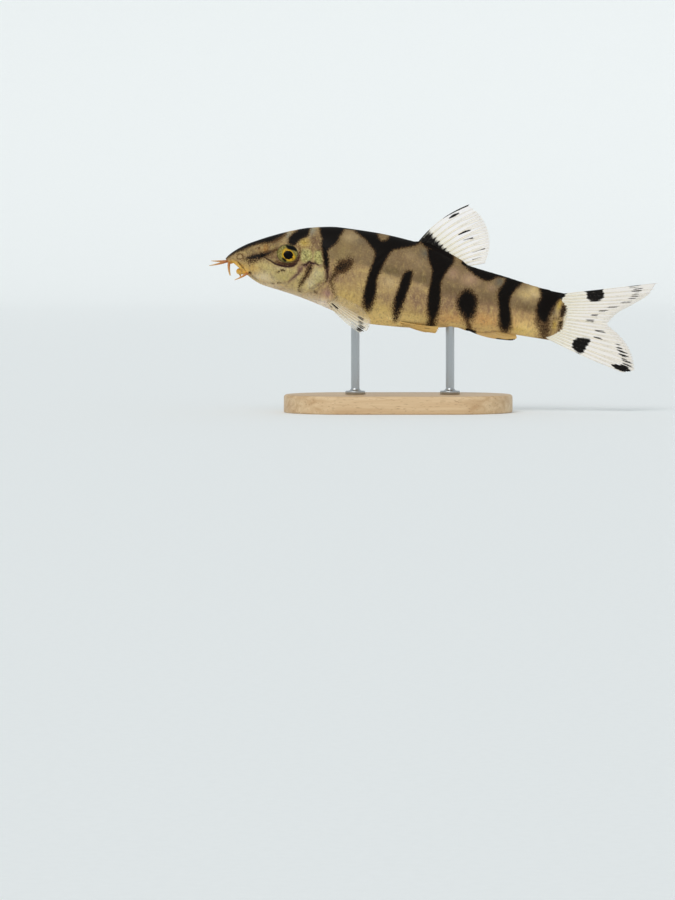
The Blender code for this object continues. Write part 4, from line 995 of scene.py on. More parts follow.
def skinMaterial():
    look = skinLook
    material, tree, place = newMaterial("wetLoachSkin", look["shader"])
    tall = addNode(tree, "Mapping", {"Scale": (1.0, 1.0, 0.45), "Vector": place})
    noises = {}
    for name, (size, detail, rough) in {**look["noises"], "veins": look["veins"]}.items():
        where = tall if name == "veins" else place
        settings = {"Scale": 1 / (size * mm), "Detail": detail, "Roughness": rough, "Vector": where}
        noises[name] = addNode(tree, "TexNoise", settings)
    # a little of two noises breaks up each wash
    grain, layers = noises["grain"], []
    shift = addNode(tree, "Math", {"operation": "ADD", 0: grain, 1: noises["cloud"]})
    for name, (tone, _) in washes.items():
        field = addNode(tree, "Attribute", {"attribute_name": name})
        layers.append((addNode(tree, "Math", {"operation": "MULTIPLY", 0: field, 1: shift}), tone))
    # over them clouds of lilac brown and of gold, pigment dots and pale flecks, calmer on the upper flank,
    # and on the gill plates and the cheek bright grains, which are painted glints, with dark grains between
    # them
    upper = addNode(tree, "Attribute", {"attribute_name": "upperFlank"})
    size = 1 / (look["dots"] * mm)
    cells = addNode(tree, "TexVoronoi", {"Scale": size, "Randomness": 1.0, "Vector": place})
    dot = {"From Min": 0.12, "From Max": 0.4, "To Min": 0.4, "To Max": 0.0, "Value": cells}
    through = {
        "calm": addNode(tree, "Math", {"operation": "MULTIPLY_ADD", 0: upper, 1: -0.6, 2: 1.0}),
        "dots": addNode(tree, "MapRange", dot),
        "glitter": addNode(tree, "Attribute", {"attribute_name": "glitter"}),
    }
    for noise, gate, low, high, most, tone in look["specks"]:
        cut = {"From Min": low, "From Max": high, "To Max": most, "Value": noises[noise]}
        part = {"operation": "MULTIPLY", 0: addNode(tree, "MapRange", cut), 1: through[gate]}
        layers.append((addNode(tree, "Math", part), tone))
    # each mark's field is set off by the grains, then cut at a level, so its edge breaks up
    for name, low, high, grains, tone in look["marks"]:
        field = addNode(tree, "Attribute", {"attribute_name": name})
        rough = addNode(tree, "Math", {"operation": "MULTIPLY_ADD", 0: grain, 1: grains, 2: -grains / 2})
        level = addNode(tree, "Math", {"operation": "ADD", 0: field, 1: rough})
        cut = {"interpolation_type": "SMOOTHSTEP", "From Min": low, "From Max": high, "Value": level}
        layers.append((addNode(tree, "MapRange", cut), tone))
    # the sunk scales and the slime's fine unevenness
    scale = {"Scale": 1 / (look["scale"] * mm), "feature": "SMOOTH_F1", "Vector": place}
    scales = addNode(tree, "TexVoronoi", scale)
    relief = addNode(tree, "Math", {"operation": "MULTIPLY_ADD", 0: scales, 1: 0.5, 2: grain})
    feedShader(tree, {"Base Color": paintLayers(tree, look["base"], layers)}, relief, 0.35, 0.06)
    return material


def makeSkin():
    # the wrapped flesh, pressed in for eyes and nostrils, then raised by the relief
    mesh, level = wrapFlesh(fleshSurfaces())
    hole = nostril["hole"] + 0.1
    for _, way in sides:
        level = pressIn(level, *eyeFrame(way), (eye["opening"][0], 3.0, eye["opening"][1]), 1.2)
        level = pressIn(level, *skinFrame(nostril["at"], way), (hole, 1.0, hole), 0.5)
    mesh.vertices.foreach_set("co", level.astype(np.float32).ravel())
    mesh.update()
    normals = readPoints(mesh, "vertex_normals", "vector")
    u, side, w = level.T
    level = level + normals * reliefHeight(u, w, side)[:, None]
    for name, values in skinFields(u, w).items():
        setField(mesh, name, values)
    mesh.vertices.foreach_set("co", toWorld(level).astype(np.float32).ravel())
    mesh.update()
    mesh.shade_smooth()
    addPiece("loach_skin", mesh, skinMaterial(), "skin", "head", "trunk", "tail")
    print("skin:", len(mesh.vertices), "points")


makeSkin()

# Barbels: soft flesh, reddish orange at the root and tan at the tip
barbelLook = {
    "root": "#a55a27",
    "middle": "#c0833c",
    "tip": "#d2b06e",
    "spots": "#7c3a22",
    "grain": 0.22,  # mm
    "rings": 0.32,  # mm from ring to ring
    "ringSize": 0.035,  # share of the radius
    "taper": 1.7,
    "steps": 90,
    "around": 28,
    "shader": {
        "Roughness": 0.4,
        "Coat Weight": 0.3,
        "Coat Roughness": 0.2,
        "Subsurface Weight": 0.25,
        "Subsurface Radius": (1.0, 0.45, 0.25),
        "Subsurface Scale": 0.0006,
    },
}


def setRamp(ramp, tones):
    # colours at their places along the ramp, the first and the last on its own two stops
    stops = ramp.node.color_ramp.elements
    for stop, (at, tone) in zip(stops, (tones[0], tones[-1])):
        stop.position, stop.color = at, linear(tone)
    for at, tone in tones[1:-1]:
        stops.new(at).color = linear(tone)


def barbelMaterial():
    look = barbelLook
    material, tree, place = newMaterial("softBarbelFlesh", look["shader"])
    ramp = addNode(tree, "ValToRGB", {"Fac": addNode(tree, "Attribute", {"attribute_name": "run"})})
    setRamp(ramp, [(0.0, look["root"]), (0.45, look["middle"]), (1.0, look["tip"])])
    grain = addNode(tree, "TexNoise", {"Scale": 1 / (look["grain"] * mm), "Detail": 2.0, "Vector": place})
    spot = addNode(tree, "MapRange", {"From Min": 0.5, "From Max": 0.7, "To Max": 0.4, "Value": grain})
    feedShader(tree, {"Base Color": paintLayers(tree, ramp, [(spot, look["spots"])])}, grain, 0.25, 0.03)
    return material


def makeBarbels():
    # a tapered tube with faint rings and a round end, which begins inside the stub on the skin
    look, material = barbelLook, barbelMaterial()
    for name, row in barbels.items():
        for sideName, way in sides:
            path = barbelPath(name, way, look["steps"])
            run = runningSum(np.linalg.norm(np.diff(path, axis=0), axis=1))
            share = run / run[-1]
            radii = row[3] + (barbelStyle["tip"] - row[3]) * share ** look["taper"]
            radii *= 1 + look["ringSize"] * np.cos(2 * math.pi * run / look["rings"])
            radii *= np.sqrt(np.clip(1 - ((share - 0.985) / 0.0155).clip(0, 1) ** 2, 0.02, 1))
            points, faces = tubeSurface(path, radii, look["around"])
            node = f"barbel_{name}_{sideName}"
            fields = {"run": np.append(np.repeat(share, look["around"]), [0, 1])}
            mesh = makeMesh(node, toWorld(points), faces, fields)
            addPiece(f"{name}_barbel_{sideName}", mesh, material, "barbel", node)


makeBarbels()
print("barbels made")

# Glass eye: gold and olive lacquer under a polished clear coat, which keeps its highlights small and sharp
eyeLook = {
    "pupil": "#050505",
    "pupilEdge": "#3a2a08",
    "gold": "#cb9c28",
    "goldEdge": "#93802f",
    "olive": "#84753b",
    "rim": "#4a3f29",
    # painted shade under the brow, and the eye's own dark spot
    "browShadeAndSpot": "#080a09",
    "fibre": 0.35,  # mm
    "specks": [  # levels of the noise where they start and are full, most, colour: dark ones, then pale ones
        (0.5, 0.68, 0.75, "#5f5d33"),
        (0.46, 0.3, 0.8, "#c2bd7e"),
    ],
    "specksFrom": (1.9, 2.3),  # mm from the pupil's middle
    "tall": 1.12,  # how much lower the rings are than wide
    "lobeTurns": (2.3, -1.0),  # radians by which the gold ring's two and three lobes are turned
    "rimFrom": (0.84, 1.0),  # share of the opening
    # painted shade where the brow overhangs the iris's top; the spot below is the eye's own dark spot
    "browShade": [(-0.5, 2.15, 0.3), (0.4, 1.7, 0.72), (1.4, 1.6, 0.68), (2.3, 1.25, 0.4)],
    "spot": [(-0.85, -1.8, 0.34), (-0.2, -2.15, 0.36)],
    "shader": {
        "Roughness": 0.35,
        "Specular IOR Level": 0.05,
        "Coat Weight": 0.06,
        "Coat Roughness": 0.04,
        "Coat IOR": 1.4,
    },
}


def eyeMaterial():
    look = eyeLook
    material, tree, place = newMaterial("polishedGlassEye", look["shader"])
    fibre = addNode(tree, "TexNoise", {"Scale": 1 / (look["fibre"] * mm), "Detail": 3.0, "Vector": place})
    iris, edge, browShadeAndSpot = (addNode(tree, "Attribute", {"attribute_name": key}) for key in ("iris", "edge", "browShadeAndSpot"))
    # the rings' colours lie over the distance from the pupil, set off by the fibres, up to 4 mm
    uneven = addNode(tree, "Math", {"operation": "MULTIPLY_ADD", 0: fibre, 1: 0.5, 2: -0.25})
    level = addNode(tree, "Math", {"operation": "ADD", 0: iris, 1: uneven})
    share = addNode(tree, "Math", {"operation": "MULTIPLY", 0: level, 1: 0.25})
    ramp = addNode(tree, "ValToRGB", {"Fac": share})
    pupil, gold = eye["pupil"], eye["gold"]
    tones = [
        (0.0, "pupil"), (pupil - 0.04, "pupil"), (pupil + 0.03, "pupilEdge"), (pupil + 0.12, "gold"),
        (gold - 0.34, "gold"), (gold + 0.04, "goldEdge"), (gold + 0.4, "olive"), (3.0, "olive"), (4.0, "rim"),
    ]
    setRamp(ramp, [(at / 4, look[tone]) for at, tone in tones])
    # dark and pale specks lie outside the gold ring
    low, high = look["specksFrom"]
    outside = addNode(tree, "MapRange", {"From Min": low, "From Max": high, "Value": iris})
    layers = []
    for low, high, most, tone in look["specks"]:
        cut = addNode(tree, "MapRange", {"From Min": low, "From Max": high, "To Max": most, "Value": fibre})
        layers.append((addNode(tree, "Math", {"operation": "MULTIPLY", 0: cut, 1: outside}), tone))
    layers += [(edge, look["rim"]), (browShadeAndSpot, look["browShadeAndSpot"])]
    feedShader(tree, {"Base Color": paintLayers(tree, ramp, layers)}, fibre, 0.3, 0.05)
    return material


def makeEyes():
    # an ellipsoid in the eye's own axes; its fields are distances from the pupil and the rim, and the painted
    # brow shade with the dark spot
    look, material = eyeLook, eyeMaterial()
    for sideName, way in sides:
        centre, axes = eyeFrame(way)
        points, faces = ballSurface(centre, eye["reach"], axes, 128, 100)
        x, _, z = ((points - centre) @ axes.T).T
        over, up = x - eye["pupilShift"][0], (z - eye["pupilShift"][1]) * look["tall"]
        away, angle = np.hypot(over, up), np.arctan2(up, over)
        two, three = look["lobeTurns"]
        lobes = np.cos(2 * (angle - two)) + 0.5 * np.cos(3 * angle - three)
        rim = np.hypot(x / eye["opening"][0], z / eye["opening"][1])
        dark = np.minimum(strokeDistance(x, z, look["browShade"]), strokeDistance(x, z, look["spot"]))
        mesh = makeMesh(f"eye_ball_{sideName}", toWorld(points), faces, {
            "iris": away - eye["lobes"] * lobes * ease(away, eye["pupil"], eye["gold"]),
            "edge": 0.8 * ease(rim, *look["rimFrom"]),
            "browShadeAndSpot": np.clip(0.5 - dark / 0.4, 0, 1),
        })
        addPiece(f"eye_ball_{sideName}", mesh, material, "eye", f"eye_{sideName}")


makeEyes()
print("eyes made")

# Fins: root, margin and bow as in the solids. The marks are the skin's kind. A dash is its ray, from and to
# as shares of its length, half its width in rays, and its strength
fins = {
    "dorsal_fin": {
        "rays": 12, "look": "clear", "sink": 1.0, "foot": 0.3,
        "root": [(51.3, 0, 12.0), (58.5, 0, 10.2), (65.0, 0, 8.4)],
        "edge": [(64.4, 0, 26.55), (68.6, 0, 23.4), (71.2, 0, 19.2), (72.0, 0, 15.0), (71.4, 0, 10.9)],
        "bow": [(-1.2, 0, 1.1), (-0.5, 0, 0.9), (0, 0, 0.2)],
        "marks": {
            "foot": (2.4, 1, [
                (48, 12), (51.5, 14.2), (54.4, 17.9), (55.4, 16.4), (57.2, 15.1), (59.3, 13.5),
                (61.4, 11.8), (62.6, 10.8), (60, 8), (50, 10),
            ]),
            "leading": (1, 1, [
                (57.7, 21.5, 0.1), (59.0, 22.8, 0.34), (61.2, 24.4, 0.36), (64.5, 26.6, 0.36),
            ]),
            "dash1": (1, 1, [(59.4, 21.7, 0.2), (60.4, 22.6, 0.42), (61.7, 23.5, 0.25)]),
            "dash2": (1, 1, [(62.8, 17.6, 0.15), (64.2, 18.6, 0.28), (65.8, 19.4, 0.15)]),
            "dash3": (1, 1, [(64.3, 16.3, 0.1), (66.7, 17.4, 0.2)]),
            "dash4": (1, 0.7, [(67.4, 13.3, 0.15), (70.6, 15.0, 0.12)]),
            "dash5": (1, 0.65, [(67.7, 11.4, 0.2), (70.0, 12.6, 0.16)]),
        },
    },
    "anal_fin": {
        "rays": 7, "look": "golden", "sink": 0.8, "foot": 0.3,
        "root": [(67.6, 0, -7.3), (75.4, 0, -6.7)],
        "edge": [(79.6, 0, -9.3), (82.2, 0, -9.1), (83.6, 0, -8.1), (83.0, 0, -6.8)],
        "bow": [(-0.4, 0, -0.8), (0, 0, -0.1)],
        "marks": {
            "foot": (1, 1, [(69.0, -8.3, 0.5), (71.8, -9.0, 0.55)]),
            "band": (1, 1, [(78.2, -9.4, 0.3), (80.6, -9.5, 0.4), (83.0, -8.9, 0.35)]),
        },
    },
    "caudal_fin": {
        "rays": 20, "look": "tail", "sink": 2.2, "foot": 0.42,
        "lobes": [  # the root is a stretch of the tail's end, as shares from its top
            {
                "root": (0, 0.489),
                "edge": [
                    (120.2, 0, 13.6), (118.6, 0, 10.4), (114.6, 0, 6.7), (110.4, 0, 3.4), (108.0, 0, 0.0),
                ],
                "bow": [(0, 0, 0), (0, 0, -0.2), (0, 0, 0)],
            },
            {
                "root": (0.511, 1),
                "edge": [
                    (108.0, 0, -0.3), (111.4, 0, -2.3), (114.6, 0, -5.0),
                    (116.9, 0, -8.6), (117.8, 0, -11.5), (114.8, 0, -12.9),
                ],
                "bow": [(0, 0, 0), (0, 0, -0.2), (0, 0, -0.3)],
            },
        ],
        "marks": {
            "upperSpot": (1, 1, [
                (100.0, 9.6), (99.7, 7.9), (100.9, 7.4), (100.9, 5.8), (102.9, 5.2), (105.2, 6.1),
                (105.9, 7.5), (105.0, 9.2), (104.8, 11.0),
            ]),
            "sixthTop": (1, 1, [
                (91.0, 7.6), (95.8, 7.6), (95.0, 6.0), (94.4, 4.8), (93.0, 3.8), (91.0, 4.2),
            ]),
            "lowerSpot": (1, 1, [
                (99.0, -6.3), (100.6, -5.0), (103.8, -4.8), (104.2, -5.5), (103.3, -7.2), (102.4, -10.0),
                (99.3, -8.8),
            ]),
            "tip": (1, 1, [
                (111.0, -11.2, 0.2), (112.2, -11.4, 0.6), (114.2, -11.8, 0.7), (116.2, -12.1, 0.4),
            ]),
        },
        "dashes": [
            (0.2, 0.7, 0.83, 0.3, 0.7), (0.9, 0.76, 0.88, 0.3, 0.9), (1.7, 0.79, 0.88, 0.3, 0.7),
            (2.5, 0.79, 0.9, 0.3, 0.72), (3.7, 0.77, 0.92, 0.3, 0.7), (5.1, 0.68, 0.84, 0.3, 0.64),
            (6.3, 0.63, 0.77, 0.3, 0.85), (7.5, 0.58, 0.72, 0.3, 0.92), (8.7, 0.55, 0.73, 0.3, 0.72),
            (9.4, 0.54, 0.74, 0.3, 0.5), (12.0, 0.63, 0.79, 0.3, 0.66), (13.7, 0.54, 0.67, 0.3, 0.9),
            (14.4, 0.82, 0.89, 0.3, 0.6), (15.0, 0.81, 0.9, 0.3, 0.7), (15.6, 0.82, 0.94, 0.3, 0.85),
            (16.2, 0.83, 0.92, 0.3, 0.85), (16.8, 0.84, 0.97, 0.3, 0.85), (17.7, 0.82, 0.93, 0.4, 0.95),
        ],
    },
    "pectoral_fin": {
        "rays": 12, "look": "glassy", "sink": 0.8, "foot": 0.3,
        "fade": ((2.5, 6.5), (-0.2, 0.35)),  # clearer from ray to ray, and out along them
        "root": [(28.6, 3.2, -5.9), (29.6, 3.9, -5.2), (30.6, 4.6, -4.2)],
        "edge": [
            (40.3, 14.6, -13.9), (42.0, 13.8, -12.2), (42.4, 12.0, -10.2),
            (41.2, 10.4, -8.3), (38.4, 9.4, -6.4),
        ],
        "bow": [(-0.8, 0.6, -0.5), (0, 0.4, 0.1)],
        "dashes": [
            (0.7, 0.86, 0.98, 0.5, 0.9), (1.9, 0.84, 0.95, 0.3, 0.95), (3.1, 0.79, 0.89, 0.3, 0.85),
            (4.5, 0.74, 0.87, 0.3, 0.95), (2.3, 0.22, 0.38, 0.42, 0.95), (0.5, 0.22, 0.32, 0.42, 0.45),
        ],
    },
    "pelvic_fin": {
        "rays": 8, "look": "golden", "sink": 0.8, "foot": 0.3,
        "root": [(47.6, 3.2, -8.7), (50.6, 1.4, -9.2)],
        "edge": [(61.9, 5.0, -8.5), (61.4, 4.6, -9.5), (60.6, 4.0, -10.5), (57.4, 3.0, -10.6)],
        "bow": [(0, 0.3, -0.5), (0, 0.1, -0.2)],
        "dashes": [(1.2, 0.7, 0.84, 0.3, 0.5)],
    },
}
finShape = {
    "rows": 80,
    "perRay": 18,
    "rayHalf": (0.24, 0.09),  # half thickness on the rays, at the root and at the margin
    "webHalf": (0.1, 0.055),  # and between them
    "rayWidth": (0.18, 0.1),
    "branches": [(0.25, 0.4, 1.0), (0.11, 0.68, 1.05)],  # how far in rays, over which shares of it
    "whole": (2, 7),  # the first rays of a fin with more than seven don't branch
    "joints": (0.1, 0.55),  # size as a share, and mm from joint to joint
    "wave": 0.12,
    "notch": 0.03,  # share of the length by which the web falls short of the rays
    "footTo": (0.02, 0.24),  # shares of the length over which the thick foot ends
    "rim": 0.012,  # share of the fin's width that thins out at its first and last ray
}


def lobeLines(lobe, share, way):
    # root, margin and bow of one fan, where a pair of shares stands for a stretch of the tail's end
    root = lobe["root"]
    if not isinstance(root[0], tuple):
        rows = [(along, 0, height) for height, along in reversed(body["tailEdge"])]
        root = lineThrough(rows, np.linspace(*root, 5))
    return [mirrored(lineThrough(row, share), way) for row in (root, lobe["edge"], lobe["bow"])]


def finLines(fin, ray, way):
    # the lines of a fin with two lobes are joined by a straight step between their inner rays
    lobes = fin.get("lobes", [fin])
    each = fin["rays"] // len(lobes)
    lines = lobeLines(lobes[0], np.clip(ray / (each - 1), 0, 1), way)
    if len(lobes) == 2:
        lower = lobeLines(lobes[1], np.clip((ray - each) / (each - 1), 0, 1), way)
        step = np.clip(ray - each + 1, 0, 1)[:, None]
        lines = [upper + (under - upper) * step for upper, under in zip(lines, lower)]
    return lines


def finSurface(fin, way):
    # a fan of curves from root to margin, thick on each ray, which parts in two and then in four
    shape, count = finShape, fin["rays"]
    across, rows = (count - 1) * shape["perRay"] + 1, shape["rows"]
    ray = np.linspace(0, count - 1, across)
    root, tip, bow = finLines(fin, ray, way)
    root = root - unit(tip - root) * fin["sink"]
    t = np.linspace(0, 1, rows)[:, None]
    nearest = np.round(ray)
    spread = np.linalg.norm(np.gradient(root + (tip - root) * t[..., None], axis=1), axis=2) * shape["perRay"]
    split = np.where((nearest < shape["whole"][0]) & (count > shape["whole"][1]), 0, 1)
    first, second = (size * ease(t, start, full) * split for size, start, full in shape["branches"])
    gaps = [ray - nearest - a * first - b * second for a in (-1, 1) for b in (-1, 1)]
    ridge = np.max([bell(gap * spread, np.interp(t, [0, 1], shape["rayWidth"])) for gap in gaps], axis=0)
    reach = t * (1 - shape["notch"] * (1 - ridge) * ease(t, 0.9, 1))
    middle = bentLine(root, (root + tip) / 2 + bow * 2, tip, reach[..., None])
    normal = unit(np.cross(np.gradient(middle, axis=0), np.gradient(middle, axis=1)))
    share = ray / (count - 1)
    middle = middle + normal * (shape["wave"] * np.sin(share * 9 + 2.5 * reach) * reach)[..., None]
    # half the thickness: the web, the jointed rays, the foot and the thin rim
    web, rayHalf = (np.interp(reach, [0, 1], shape[part]) for part in ("webHalf", "rayHalf"))
    size, every = shape["joints"]
    beat = np.cos(2 * math.pi * reach * np.linalg.norm(tip - root, axis=-1) / every)
    half = web + (rayHalf - web) * ridge * (1 + size * beat * ease(reach, 0.3, 0.45))
    half = half + (fin["foot"] - half) * (1 - ease(reach, *shape["footTo"]))
    rim = ease(share, 0, shape["rim"]) * (1 - ease(share, 1 - shape["rim"], 1))
    out = normal * (half * (0.45 + 0.55 * rim))[..., None]
    points = np.concatenate([(middle + out).reshape(-1, 3), (middle - out).reshape(-1, 3)])
    # both faces as grids of quads, and walls round their edge
    size = rows * across
    here = np.arange(size).reshape(rows, across)
    quads = np.stack([here[:-1, :-1], here[:-1, 1:], here[1:, 1:], here[1:, :-1]], axis=-1).reshape(-1, 4)
    loop = np.concatenate([here[0, :-1], here[:-1, -1], here[-1, :0:-1], here[:0:-1, 0]])
    after = np.roll(loop, -1)
    walls = np.column_stack([after, loop, loop + size, after + size])
    faces = outward(points, [np.concatenate([quads, quads[:, ::-1] + size, walls])])
    return points, faces, middle, ridge, reach, ray + 0 * ridge


# Fin: thin skin stretched on bony rays, so the web lets light through and the rays, the fleshy foot and the
# ink less of it; the ink runs further along the rays than between them
finLooks = {
    "tail": {
        "web": "#f6efe8", "root": "#f5efdf", "ray": "#e7dab8", "line": "#756a50", "ink": "#0d0906",
        "webClear": 0.12, "rayClear": 0.0, "rayTint": 0.55, "footHold": 1.0,
    },
    "clear": {
        "web": "#fffaf7", "root": "#f3e9c8", "ray": "#ecdcb2", "line": "#84775a", "ink": "#0d0906",
        "webClear": 0.12, "rayClear": 0.0, "rayTint": 0.55, "footHold": 1.0,
    },
    "golden": {
        "web": "#d6b06b", "root": "#c79e60", "ray": "#c39f60", "line": "#8d6f3d", "ink": "#120d09",
        "webClear": 0.25, "rayClear": 0.0, "rayTint": 0.7, "footHold": 1.0,
    },
    "glassy": {
        "web": "#f0e8d9", "root": "#cfb27c", "ray": "#dccfa9", "line": "#84785c", "ink": "#15110b",
        "webClear": 0.8, "rayClear": 0.3, "rayTint": 0.6, "footHold": 0.35,
    },
}
finGrain = 0.3  # mm
finShader = {
    "Roughness": 0.45,
    "Specular IOR Level": 0.12,
    "Coat Weight": 0.03,
    "Coat Roughness": 0.25,
    "Subsurface Weight": 0.15,
    "Subsurface Radius": (1.0, 0.9, 0.7),
    "Subsurface Scale": 0.0004,
}


def finMaterial(name, look):
    material, tree, place = newMaterial(f"{name}FinSkin", finShader)
    grain = addNode(tree, "TexNoise", {"Scale": 1 / (finGrain * mm), "Detail": 2.0, "Vector": place})
    fields = ("ray", "reach", "ink", "fade")
    ray, reach, ink, fade = (addNode(tree, "Attribute", {"attribute_name": field}) for field in fields)
    smooth, times = {"interpolation_type": "SMOOTHSTEP"}, {"operation": "MULTIPLY"}
    foot = {"From Min": 0.08, "From Max": 0.5, "To Min": 0.85, "To Max": 0.0, "Value": reach}
    foot = addNode(tree, "MapRange", foot)
    # the ray's tint thins out towards the margin, and a hair-fine dark line runs down its sides
    near = {"From Min": 0.55, "From Max": 1.0, "To Min": look["rayTint"], "To Max": 0.15, "Value": reach}
    tint = addNode(tree, "Math", {**times, 0: ray, 1: addNode(tree, "MapRange", near)})
    rise = addNode(tree, "MapRange", {**smooth, "From Min": 0.1, "From Max": 0.35, "Value": ray})
    fall = addNode(tree, "MapRange", {**smooth, "From Min": 0.75, "From Max": 0.45, "Value": ray})
    thin = {"From Min": 0.3, "From Max": 0.7, "To Min": 0.15, "To Max": 0.75, "Value": grain}
    side = addNode(tree, "Math", {**times, 0: rise, 1: fall})
    hair = addNode(tree, "Math", {**times, 0: side, 1: addNode(tree, "MapRange", thin)})
    boost = addNode(tree, "Math", {"operation": "MULTIPLY_ADD", 0: ray, 1: 0.9, 2: 0.8})
    level = addNode(tree, "Math", {**times, 0: ink, 1: boost})
    streak = addNode(tree, "Math", {"operation": "MULTIPLY_ADD", 0: grain, 1: 0.5, 2: level})
    mask = addNode(tree, "MapRange", {**smooth, "From Min": 0.5, "From Max": 1.05, "Value": streak})
    layers = [(foot, look["root"]), (tint, look["ray"]), (hair, look["line"]), (mask, look["ink"])]
    # what holds light back: rays and foot, less of them where the fin fades, and all of the ink
    clear = {"To Min": 1 - look["webClear"], "To Max": 1 - look["rayClear"], "Value": ray}
    hold = addNode(tree, "Math", {**times, 0: foot, 1: look["footHold"]})
    held = {"operation": "MAXIMUM", 0: addNode(tree, "MapRange", clear), 1: hold}
    kept = addNode(tree, "Math", {"operation": "MULTIPLY_ADD", 0: fade, 1: -0.9, 2: 1.0})
    faded = addNode(tree, "Math", {**times, 0: addNode(tree, "Math", held), 1: kept})
    alpha = {"operation": "MAXIMUM", 0: faded, 1: mask}
    sockets = {"Base Color": paintLayers(tree, look["web"], layers), "Alpha": addNode(tree, "Math", alpha)}
    feedShader(tree, sockets, grain, 0.2, 0.03)
    return material


def dashField(fin, ray, reach):
    # a thin dash is two streaks along the branches of its ray, and a wide one fills the space between them
    total = np.zeros(ray.shape)
    for at, start, stop, half, strength in fin.get("dashes", []):
        ends = ease(reach, start - 0.03, start + 0.04) * (1 - ease(reach, stop - 0.04, stop + 0.03))
        away = np.abs(ray - at)
        if half < 0.35:
            away, half = np.abs(away - 0.25 * ease(reach, 0.4, 1)), 0.12
        total = np.maximum(total, strength * ends * (1 - ease(away, half - 0.1, half + 0.1)))
    return total


def makeFins():
    looks = {name: finMaterial(name, look) for name, look in finLooks.items()}
    for name, fin in fins.items():
        paired = name in ("pectoral_fin", "pelvic_fin")
        for sideName, way in sides if paired else (("", 1),):
            points, faces, middle, ridge, reach, ray = finSurface(fin, way)
            ink = coverage(middle[..., 0], middle[..., 2], fin.get("marks", {}), 0.4)
            fade = ease(ray, *fin["fade"][0]) * ease(reach, *fin["fade"][1]) if "fade" in fin else 0 * ray
            ink = np.maximum(ink, dashField(fin, ray, reach))
            fields = {"ink": ink, "ray": ridge, "reach": reach, "fade": fade}
            fields = {field: np.tile(values.ravel(), 2) for field, values in fields.items()}
            mesh = makeMesh(name, toWorld(points), faces, fields)
            node = f"{name}_{sideName}" if paired else name
            nodes = [name + "_upper", name + "_lower"] if "lobes" in fin else [node]
            addPiece(node + "_membrane", mesh, looks[fin["look"]], "fin", *nodes)


makeFins()
print("fins made")

# The stand: a wooden base with round ends and two steel rods, in the row frame's millimetres
stand = {
    "base": {"length": 64.0, "width": 34.0, "height": 5.0, "edge": 0.8, "lowerEdge": 0.4, "at": -10.0},
    "rods": {"front": -22.0, "rear": 4.5},
    "rodRadius": 1.2,
    "foot": (2.8, 1.0),
    "footEdge": 0.3,
    "fillet": 0.9,
    "rodInFlesh": 1.6,
    "insets": (12.0, 4.0),  # rings on the flat top and bottom
    "endSteps": 49,
}


def standBase():
    # the outline of a stadium, drawn in by the rounded edge's profile
    size, steps = stand["base"], stand["endSteps"]
    half = (size["length"] - size["width"]) / 2
    turn = np.linspace(-0.5, 0.5, steps) * math.pi
    way = np.column_stack([np.cos(turn), np.sin(turn)])
    way = np.concatenate([way, -way])
    middle = np.where(np.arange(len(way)) < steps, half, -half) + size["at"]
    bend = np.linspace(0, 0.5, 9)[1:] * math.pi
    edge, lower, top, inner = size["edge"], size["lowerEdge"], size["height"], stand["insets"]
    inset = [inner, [lower], lower * (1 - np.sin(bend)), edge * (1 - np.cos(bend)), inner[::-1]]
    height = [[0, 0, 0], lower * (1 - np.cos(bend)), top - edge * (1 - np.sin(bend)), [top, top]]
    radius = (size["width"] / 2 - np.concatenate(inset))[:, None, None]
    flat = way * radius + np.column_stack([middle, 0 * middle])
    level = np.broadcast_to(np.concatenate(height)[:, None, None], (*flat.shape[:2], 1))
    return ringSurface(np.concatenate([flat, level], axis=2), (size["at"], 0, 0), (size["at"], 0, top))


def rodTop(x):
    # height where a rod at this place meets the belly, found by stepping up through it
    turn = math.radians(pose["pitch"])
    z = np.linspace(10, 45, 700)
    along = (x - pose["snoutPlace"]) * math.cos(turn) - (z - pose["snoutHeight"]) * math.sin(turn)
    level = (x - pose["snoutPlace"]) * math.sin(turn) + (z - pose["snoutHeight"]) * math.cos(turn)
    return float(z[np.argmax(level > bodySizes(along)[1])])


def standRod(x):
    # a profile turned about the rod's own axis: foot, small fillet and plain shaft
    radius, edge, fillet = stand["rodRadius"], stand["footEdge"], stand["fillet"]
    foot, footHeight = stand["foot"]
    bottom, top = stand["base"]["height"] + 0.02, rodTop(x) + stand["rodInFlesh"]
    bend, step = np.linspace(0, 0.5, 8) * math.pi, bottom + footHeight
    profile = np.concatenate([
        [(foot, bottom)],
        np.column_stack([foot - edge * (1 - np.cos(bend)), step - edge * (1 - np.sin(bend))]),
        np.column_stack([radius + fillet * (1 - np.sin(bend)), step + fillet * (1 - np.cos(bend))]),
        [(radius, z) for z in np.linspace(step + 2, top, 12)],
    ])
    around, (out, z) = fullTurn(48), np.split(profile, 2, axis=1)
    rings = np.stack([x + out * np.cos(around), out * np.sin(around), z + 0 * around], axis=2)
    return ringSurface(rings, (x, 0, bottom), (x, 0, top))


def beechMaterial():
    # oiled beech: close pale grain with short darker rays, satin from fine sanding
    shader = {"Roughness": 0.5, "Coat Weight": 0.08, "Coat Roughness": 0.35}
    material, tree, place = newMaterial("oiledBeech", shader)
    long = addNode(tree, "Mapping", {"Scale": (0.06, 1.0, 1.0), "Vector": place})
    rings = {"Scale": 1 / (2.2 * mm), "Detail": 4.0, "Roughness": 0.55, "Distortion": 0.6, "Vector": long}
    tone = addNode(tree, "ValToRGB", {"Fac": addNode(tree, "TexNoise", rings)})
    setRamp(tone, [(0.3, "#b8946a"), (0.72, "#dcc29b")])
    short = addNode(tree, "Mapping", {"Scale": (0.16, 1.0, 1.0), "Vector": place})
    flecks = addNode(tree, "TexNoise", {"Scale": 1 / (0.28 * mm), "Detail": 1.0, "Vector": short})
    fleck = addNode(tree, "MapRange", {"From Min": 0.62, "From Max": 0.72, "To Max": 0.55, "Value": flecks})
    feedShader(tree, {"Base Color": paintLayers(tree, tone, [(fleck, "#8d6a45")])}, flecks, 0.3, 0.04)
    return material


